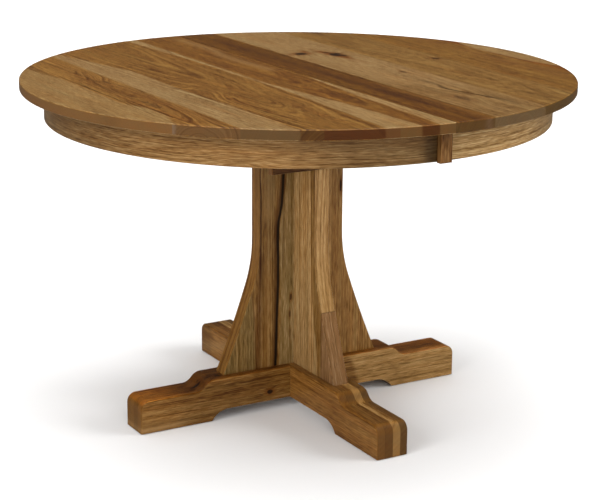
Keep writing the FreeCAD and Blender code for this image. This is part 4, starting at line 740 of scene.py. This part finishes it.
def fin(name, along, inner, outer_sign, material, through=False, cutters=()):
    """A pedestal board with its free edge rounded. The outline is walked from the top down."""
    curve = flare_curve()
    r = 3.0
    lv = []
    for a in (0.0, 22.5, 45.0, 67.5, 90.0):
        c = math.radians(a)
        lv.append((r * (1 - math.sin(c)), -FT / 2 + r * (1 - math.cos(c))))
    lv += [(i, -t) for i, t in reversed(lv)]
    # the curve's outward side is away from the board's middle, which is -normal of the arcs' centres
    verts, faces, rows = [], [], []
    for inset, t in lv:
        a_row, b_row = [], []
        for j, (p, z, np_, nz_) in enumerate(curve):
            q, zz = p - np_ * inset, z - nz_ * inset
            if j == len(curve) - 1:      # stay on the foot's level
                slope = (curve[-1][0] - curve[-2][0]) / (curve[-1][1] - curve[-2][1])
                q, zz = q + slope * (FOOT_Z - zz), FOOT_Z
            if j == 0:
                zz = FIN_TOP
            s = outer_sign * q
            o = -outer_sign * q if through else inner
            a_row.append(len(verts))
            verts.append((s * MM, t * MM, zz * MM) if along == "X" else (t * MM, s * MM, zz * MM))
            b_row.append(len(verts))
            verts.append((o * MM, t * MM, zz * MM) if along == "X" else (t * MM, o * MM, zz * MM))
        rows.append((a_row, b_row))
    n = len(curve) - 1
    for k in range(len(rows) - 1):
        (a0, b0), (a1, b1) = rows[k], rows[k + 1]
        for j in range(n):
            faces.append((a0[j], a0[j + 1], a1[j + 1], a1[j]))
            faces.append((b0[j + 1], b0[j], b1[j], b1[j + 1]))
        faces.append((a0[0], a1[0], b1[0], b0[0]))
        faces.append((a0[n], b0[n], b1[n], a1[n]))
    for (a, b) in (rows[0], rows[-1]):
        for j in range(n):
            faces.append((a[j], a[j + 1], b[j + 1], b[j]))
    ob = finish_mesh(name, verts, faces, material)
    if cutters:
        cut_away(ob, cutters)
    return weighted(ob)


OLIVE = [stain(84, 62, 33), stain(116, 87, 50), stain(146, 115, 72)]
BROWN = [stain(72, 44, 20), stain(110, 76, 39), stain(140, 103, 60)]
AMBER = [stain(85, 53, 24), stain(120, 82, 42), stain(146, 105, 57)]
EDGE = [stain(100, 64, 29), stain(134, 93, 46), stain(158, 115, 61)]
EDGE_LIGHT = [stain(126, 90, 50), stain(159, 121, 74), stain(184, 148, 98)]
EDGE_LOW = [stain(104, 73, 42), stain(135, 99, 64), stain(162, 126, 90)]
panel_mat = wood("hickory_panel", "Zx", BROWN, narrow=(EDGE, 0.0, None), grit=0.75, end_grain_and_painted_light_tone=0.8, seed=21.4, pith=(-520.0, 300.0), tilt=(0.012, 0.02), ring=3.6, figure=0.75, warp=3.0,
                 zones=[(-1, [(98, -117), (200, -121), (300, -132), (655, -150)], 2.0, [stain(66, 48, 25), stain(98, 72, 39), stain(124, 94, 55)]),
                        (1, [(98, -57), (300, -53), (390, -55), (450, -50), (545, -38), (655, -30)], 2.0, OLIVE),
                        (1, [(98, 30), (655, 10)], 6.0, AMBER)],
                 streaks=[([(98, -71), (213, -68), (292, -66), (390, -67), (432, -65), (484, -56.5), (545, -50), (655, -42)], 5.0, 0.7, [c * 0.8 for c in RED[0]], (60, 720)),
                          ([(98, -66.5), (213, -63), (292, -60.5), (350, -60.5), (393, -61.5), (432, -60), (454, -55.5), (484, -51), (542, -47), (655, -40)], 3.1, 1.55, (0.008, 0.0045, 0.003), (60, 720)),
                          ([(430, -86), (655, -76)], 16.0, 0.42, [c * 1.6 for c in OLIVE[2]], (440, 720)),
                          ([(98, -110), (200, -110), (300, -105), (380, -100)], 8.0, 0.60, RED[0], (60, 365)),
                          ([(98, -50), (391, -46.6), (448, -46), (505, -44), (546, -40.5), (655, -33)], 2.6, 0.45, DARK[0], (330, 720)),
                          ([(98, -106), (350, -105), (489, -104.5), (552, -107), (655, -107)], 2.2, 0.9, DARK[0], (300, 720)),
                          ([(98, -84), (655, -86)], 9.0, 0.30, GREY[1], (340, 720)),
                          ([(98, -94), (300, -90)], 10.0, 0.50, MID[1], (60, 330)),
                          ([(98, -116), (200, -120), (300, -131)], 1.6, 0.5, DARK[0], (60, 330))],
                 knots=[(256, -27, 9, 3.0, 0.8, 5.0), (216, -29, 10, 2.6, 0.7, 5.0), (170, -28, 14, 2.2, 0.5, 5.0), (500, 101.0, 17, 3.2, 1.0, 6.0),
                        (560, -112, 16, 5, 0.6, 4.0, 17.0, 6.0), (500, -112, 12, 5, 0.5, 4.0, 17.0, 6.0)])
wing_f_mat = wood("hickory_wing_front", "Zy", TAN, narrow=(EDGE_LIGHT, 140.0, EDGE_LOW), grit=0.75, end_grain_and_painted_light_tone=0.8, seed=23.3, pith=(460.0, 320.0), tilt=(0.01, 0.02), ring=3.6, figure=0.65, warp=3.0,
                  fade=[(98, 0.82), (240, 0.87), (340, 0.98), (440, 1.12), (520, 1.24), (655, 1.26)],
                  zones=[(-1, [(98, -128), (180, -117), (270, -101), (383, -94), (655, -92)], 1.6, BROWN), 
                         (-1, [(98, -140), (655, -140)], 0.5, [stain(86, 54, 31), stain(120, 85, 52), stain(144, 106, 70)])],
                  splits=("v", [-140.0], [(1.0, 2.0), (1.0, 5.0)]))
wing_b_mat = wood("hickory_wing_back", "Zy", BROWN, narrow=(EDGE, 0.0, None), grit=0.75, end_grain_and_painted_light_tone=0.8, seed=25.8, pith=(-460.0, 320.0), tilt=(0.01, -0.02), ring=3.6, figure=0.75, warp=3.0,
                  zones=[(1, [(98, 74), (655, 66)], 2.0, TAN)], splits=("v", [128.0], [(1.0, 2.0), (0.95, 5.0)]))
panel = fin("pedestal_panel_board", "X", 0.0, 1.0, panel_mat, through=True)
wing_front = fin("pedestal_front_board", "Y", -FT / 2, -1.0, wing_f_mat)
wing_back = fin("pedestal_back_board", "Y", FT / 2, 1.0, wing_b_mat)
for ob, node in ((panel, "pedestal_panel"), (wing_front, "pedestal_wing_front"), (wing_back, "pedestal_wing_back")):
    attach(ob, "base")
    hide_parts(node)

# ------------------------------------------------------------------ materials of the CAD nodes that stay
lam = ("w", [-19.05, 0.0, 19.05], [(1.0, 1.0), (0.84, 3.0), ((1.75, 2.15, 3.1), 6.0), ((0.70, 0.76, 0.9), 8.0)])
lam_x = ("w", [-19.05, 0.0, 19.05], [(1.0, 2.0), (0.80, 4.0), (1.0, 7.0), (0.92, 9.0)])
# Upward faces of the foot: partly the wood's darker colour, partly painted shade from the table top.
FOOT_TOP_SHADED = [stain(50, 26, 10), stain(109, 67, 29), stain(150, 100, 51)]
MATS = {
    "apron_left": wood("hickory_apron_left", "bendL", TAN, grit=0.85, seed=31.0, pith=(980.0, 0.0), tilt=(0.0, 0.0), ring=3.4, figure=0.62, warp=7.0, tone=1.0,
                       # painted shade: the joint block's shadow at the front end, and darker shade towards the far left
                       # end
                       fade=[(-876, 0.22), (-852, 0.27), (-832, 0.50), (-800, 0.60), (-700, 0.66), (-600, 0.88), (-470, 1.0), (-300, 0.95), (-150, 0.72), (0, 0.62), (300, 0.8), (876, 0.9)],
                       knots=[(-478, 690, 30, 9, 0.12, 16.0), (210, 700, 40, 8, 0.1, 12.0)]),
    "apron_right": wood("hickory_apron_right", "bendR", TAN, grit=0.85, seed=33.0, pith=(980.0, 0.0), tilt=(0.0, 0.0), ring=3.4, figure=0.7, warp=7.0, tone=1.1,
                        # painted shade: darker away from the joint block towards the +X end
                        fade=[(-876, 0.95), (-700, 1.0), (-620, 0.95), (-530, 0.80), (-400, 0.76), (-250, 0.72), (0, 0.7), (876, 0.9)]),
    "apron_joint_block_front": wood("hickory_block_front", "Zx", MID, seed=35.0, pith=(0.0, -540.0), ring=2.6, figure=0.9, warp=3.0, tone=0.74),
    "apron_joint_block_back": wood("hickory_block_back", "Zx", MID, seed=36.0, pith=(0.0, 540.0), ring=2.6, figure=1.0, warp=3.0, tone=1.0),
    "foot_beam_x": wood("hickory_foot_x", "Xf", BROWN, grit=0.8, end_grain_and_painted_light_tone=(0.86, 0.82, 0.72), seed=41.0, pith=(-430.0, 330.0), tilt=(0.015, 0.02), ring=3.8, figure=0.65, warp=4.0, splits=lam_x,
                        sap=[(-1, [(-412, 34), (-330, 22), (-250, 6), (-200, -14), (412, -14)], 4.0)], sapwood=[stain(112, 82, 44), stain(150, 114, 66), stain(172, 138, 86)], top=FOOT_TOP_SHADED,
                        # painted shade: the upward faces are darker under the table top and lighter towards the toes
                        top_fade=[(-412, 2.3), (-365, 2.2), (-325, 1.6), (-280, 1.2), (-200, 0.95), (-120, 0.90), (60, 0.95), (150, 1.7), (412, 2.2)],
                        zones=[(1, [(-412, 110), (100, 110), (180, -20), (412, -20)], 20.0, [stain(104, 74, 38), stain(148, 112, 66), stain(172, 136, 88)])],
                        fade=[(-412, 1.02), (-330, 0.98), (-270, 0.82), (-200, 0.84), (-120, 0.98), (100, 1.0), (250, 0.84), (412, 0.80)],
                        streaks=[([(-412, 9), (-350, 10), (-290, 13)], 6.0, 0.8, SAP[1], (-440, -300))],
                        knots=[(-91, 45, 9, 6, 1.0, 9.0, -38.0, 14.0), (-262, 80, 17, 20, 1.0, 6.0, -8.0, 5.0), (-232, 88, 15, 14, 1.0, 6.0, -12.0, 6.0), (-212, 98, 9, 12, 1.0, 4.0, -16.0, 7.0), (-248, 84, 9, 9, 1.0, 4.0, 3.0, 4.0), (-278, 78, 8, 7, 1.0, 4.0, -20.0, 4.0)]),
    "foot_beam_y": wood("hickory_foot_y", "Yf", MID, grit=0.8, end_grain_and_painted_light_tone=(0.58, 0.58, 0.58), seed=43.0, pith=(-430.0, 330.0), tilt=(0.015, 0.02), ring=3.8, figure=0.6, warp=4.0, splits=lam,
                        fade=[(-412, 1.0), (280, 1.0), (320, 1.08), (365, 0.78), (412, 0.70)],
                        streaks=[([(150, 96), (260, 52), (412, 20)], 15.0, 0.5, TAN[2], (190, 470))]),
    # The cleats' bright bluish end tone is a painted highlight on their lit ends.
    "mounting_cleat_front": wood("hickory_cleat_front", "Xv", DARK, end_grain_and_painted_light_tone=(2.6, 3.0, 3.6), seed=51.0, pith=(612.0, -160.0), ring=2.8, figure=0.9, tone=0.8),
    "mounting_cleat_back": wood("hickory_cleat_back", "Xv", DARK, end_grain_and_painted_light_tone=(2.6, 3.0, 3.6), seed=52.0, pith=(612.0, 160.0), ring=2.8, figure=0.9, tone=0.8),
    "mounting_plate": wood("hardwood_plate", "X", TAN, seed=61.0, pith=(0.0, 560.0), ring=4.0, figure=0.8, tone=1.05),
    "glue_blocks_left": wood("hardwood_blocks_left", "Zx", SAP, seed=63.0, figure=0.8, tone=1.0),
    "glue_blocks_right": wood("hardwood_blocks_right", "Zx", SAP, seed=64.0, figure=0.8, tone=1.0),
}
MAPLE = [lin(150, 118, 80), lin(186, 154, 112), lin(205, 178, 138)]
for i, n in enumerate(("center_rail_front", "center_rail_back", "slide_rail_left_front", "slide_rail_left_back",
                       "slide_rail_right_front", "slide_rail_right_back")):
    MATS[n] = wood("maple_" + n, "X", MAPLE, seed=71.0 + 1.7 * i, pith=(0.0, 600.0 + 9 * i), ring=2.6, figure=0.45, warp=4.0, tone=1.0, rough=0.46, coat=0.05, pores=0.25)
MATS["seam_pins"] = wood("maple_pins", "X", MAPLE, seed=83.0, pith=(0.0, 760.0), ring=1.6, figure=0.5, warp=1.0, rough=0.5, coat=0.0, pores=0.2)
zinc = metal("zinc_screws", (0.55, 0.54, 0.50), 0.34, 1.0)
gear = metal("gear_steel", (0.48, 0.48, 0.47), 0.38, 2.0, brushed=(1.0, 30.0, 30.0))
latch = metal("latch_steel", (0.62, 0.60, 0.56), 0.27, 3.0, brushed=(1.0, 20.0, 20.0))
nylon = plastic("brown_nylon", lin(92, 66, 46), 0.5)
for n in NODES:
    if n in MATS or NODES[n].hide_render:
        continue
    if n.startswith(("rack", "pinion_front", "pinion_back")):
        MATS[n] = gear
    elif n.startswith("latch_") and n != "latch_screws":
        MATS[n] = latch
    elif n == "floor_glides":
        MATS[n] = nylon
    else:
        MATS[n] = zinc
for n, mat in MATS.items():
    ob = NODES[n]
    if not ob.material_slots:
        ob.data.materials.append(mat)
    for s in ob.material_slots:
        s.material = mat

# ------------------------------------------------------------------ floor, light and camera
floor_mat = Graph("studio_floor")
(fx, fy, fz), _ = floor_mat.object_mm()
speck = floor_mat.noise(floor_mat.vec(floor_mat.mul(fx, 1 / 900.0), floor_mat.mul(fy, 1 / 900.0), 0.0), 2.0, 0.5)
floor_mat.t.links.new(floor_mat.ramp(speck, [(0.0, (0.86, 0.86, 0.86, 1)), (1.0, (0.90, 0.90, 0.90, 1))]), floor_mat.bsdf.inputs["Base Color"])
floor_mat.bsdf.inputs["Roughness"].default_value = 0.9
floor_mat.bsdf.inputs["Specular IOR Level"].default_value = 0.1
me = bpy.data.meshes.new("studio_floor")
me.from_pydata([(-30, -30, 0), (30, -30, 0), (30, 30, 0), (-30, 30, 0)], [], [(0, 1, 2, 3)])
floor = bpy.data.objects.new("studio_floor", me)
me.materials.append(floor_mat.mat)
bpy.context.scene.collection.objects.link(floor)
floor.visible_glossy = False

scene = bpy.context.scene
world = bpy.data.worlds.new("studio")
scene.world = world
world.use_nodes = True
wt = world.node_tree
wt.nodes.clear()
wo = wt.nodes.new("ShaderNodeOutputWorld")
bg = wt.nodes.new("ShaderNodeBackground")
tc = wt.nodes.new("ShaderNodeTexCoord")
sx = wt.nodes.new("ShaderNodeSeparateXYZ")
rp = wt.nodes.new("ShaderNodeValToRGB")
wt.links.new(tc.outputs["Generated"], sx.inputs[0])
half = wt.nodes.new("ShaderNodeMath")
half.operation = "MULTIPLY_ADD"
half.inputs[1].default_value = half.inputs[2].default_value = 0.5
wt.links.new(sx.outputs[2], half.inputs[0])
wt.links.new(half.outputs[0], rp.inputs[0])
dome = [(-1.0, 0.05), (-0.06, 0.05), (0.0, 0.02), (0.58, 0.02), (0.72, 0.22), (0.86, 0.42), (0.93, 1.03), (1.0, 1.03)]
rp.color_ramp.elements[0].position = 0.0
rp.color_ramp.elements[0].color = (dome[0][1],) * 3 + (1,)
rp.color_ramp.elements[1].position = 1.0
rp.color_ramp.elements[1].color = (dome[-1][1],) * 3 + (1,)
for pos, val in dome[1:-1]:
    e = rp.color_ramp.elements.new(0.5 + 0.5 * pos)
    e.color = (val, val, val, 1)
wt.links.new(rp.outputs[0], bg.inputs[0])
bg.inputs[1].default_value = 2.7
backdrop = wt.nodes.new("ShaderNodeBackground")
backdrop.inputs[0].default_value = (0.86, 0.86, 0.86, 1)
path = wt.nodes.new("ShaderNodeLightPath")
choose = wt.nodes.new("ShaderNodeMixShader")
wt.links.new(path.outputs["Is Camera Ray"], choose.inputs[0])
wt.links.new(bg.outputs[0], choose.inputs[1])
wt.links.new(backdrop.outputs[0], choose.inputs[2])
wt.links.new(choose.outputs[0], wo.inputs[0])


def sun(name, direction, strength, angle, colour=(1, 1, 1)):
    l = bpy.data.lights.new(name, "SUN")
    l.energy, l.angle, l.color = strength, math.radians(angle), colour
    o = bpy.data.objects.new(name, l)
    o.rotation_euler = Vector(direction).to_track_quat("-Z", "Y").to_euler()
    o.visible_glossy = False
    scene.collection.objects.link(o)
    return o


def softbox(name, azimuth, elevation, strength, angle):
    """azimuth from -Y towards -X, where the light comes from"""
    a, e = math.radians(azimuth), math.radians(elevation)
    sun(name, (math.sin(a) * math.cos(e), math.cos(a) * math.cos(e), -math.sin(e)), strength, angle)


softbox("left", 72, 24, 1.8, 34)
softbox("right", -56, 22, 1.9, 34)
softbox("front", 18, 18, 1.1, 50)
softbox("rear_left", 150, 62, 0.35, 50)
softbox("rear_right", -145, 62, 0.35, 50)

cam_data = bpy.data.cameras.new("camera")
cam = bpy.data.objects.new("camera", cam_data)
scene.collection.objects.link(cam)
scene.camera = cam
cam_data.sensor_width = 36.0
cam_data.lens = 36.0 * 1770.476 / 600.0
R = Vector((0.8671467, -0.4980014, 0.0071615))
U = Vector((0.1282194, 0.2371106, 0.9629841))
F = Vector((0.4812655, 0.8341302, -0.2694631))
m = Matrix(((R.x, U.x, -F.x), (R.y, U.y, -F.y), (R.z, U.z, -F.z)))
cam.matrix_world = Matrix.Translation((-1.9249026, -3.3483631, 1.4385822)) @ m.to_4x4()
cam_data.clip_start, cam_data.clip_end = 0.05, 200.0

scene.view_settings.view_transform = "Standard"
scene.view_settings.look = "None"
scene.view_settings.exposure = 0.0
scene.view_settings.gamma = 1.0
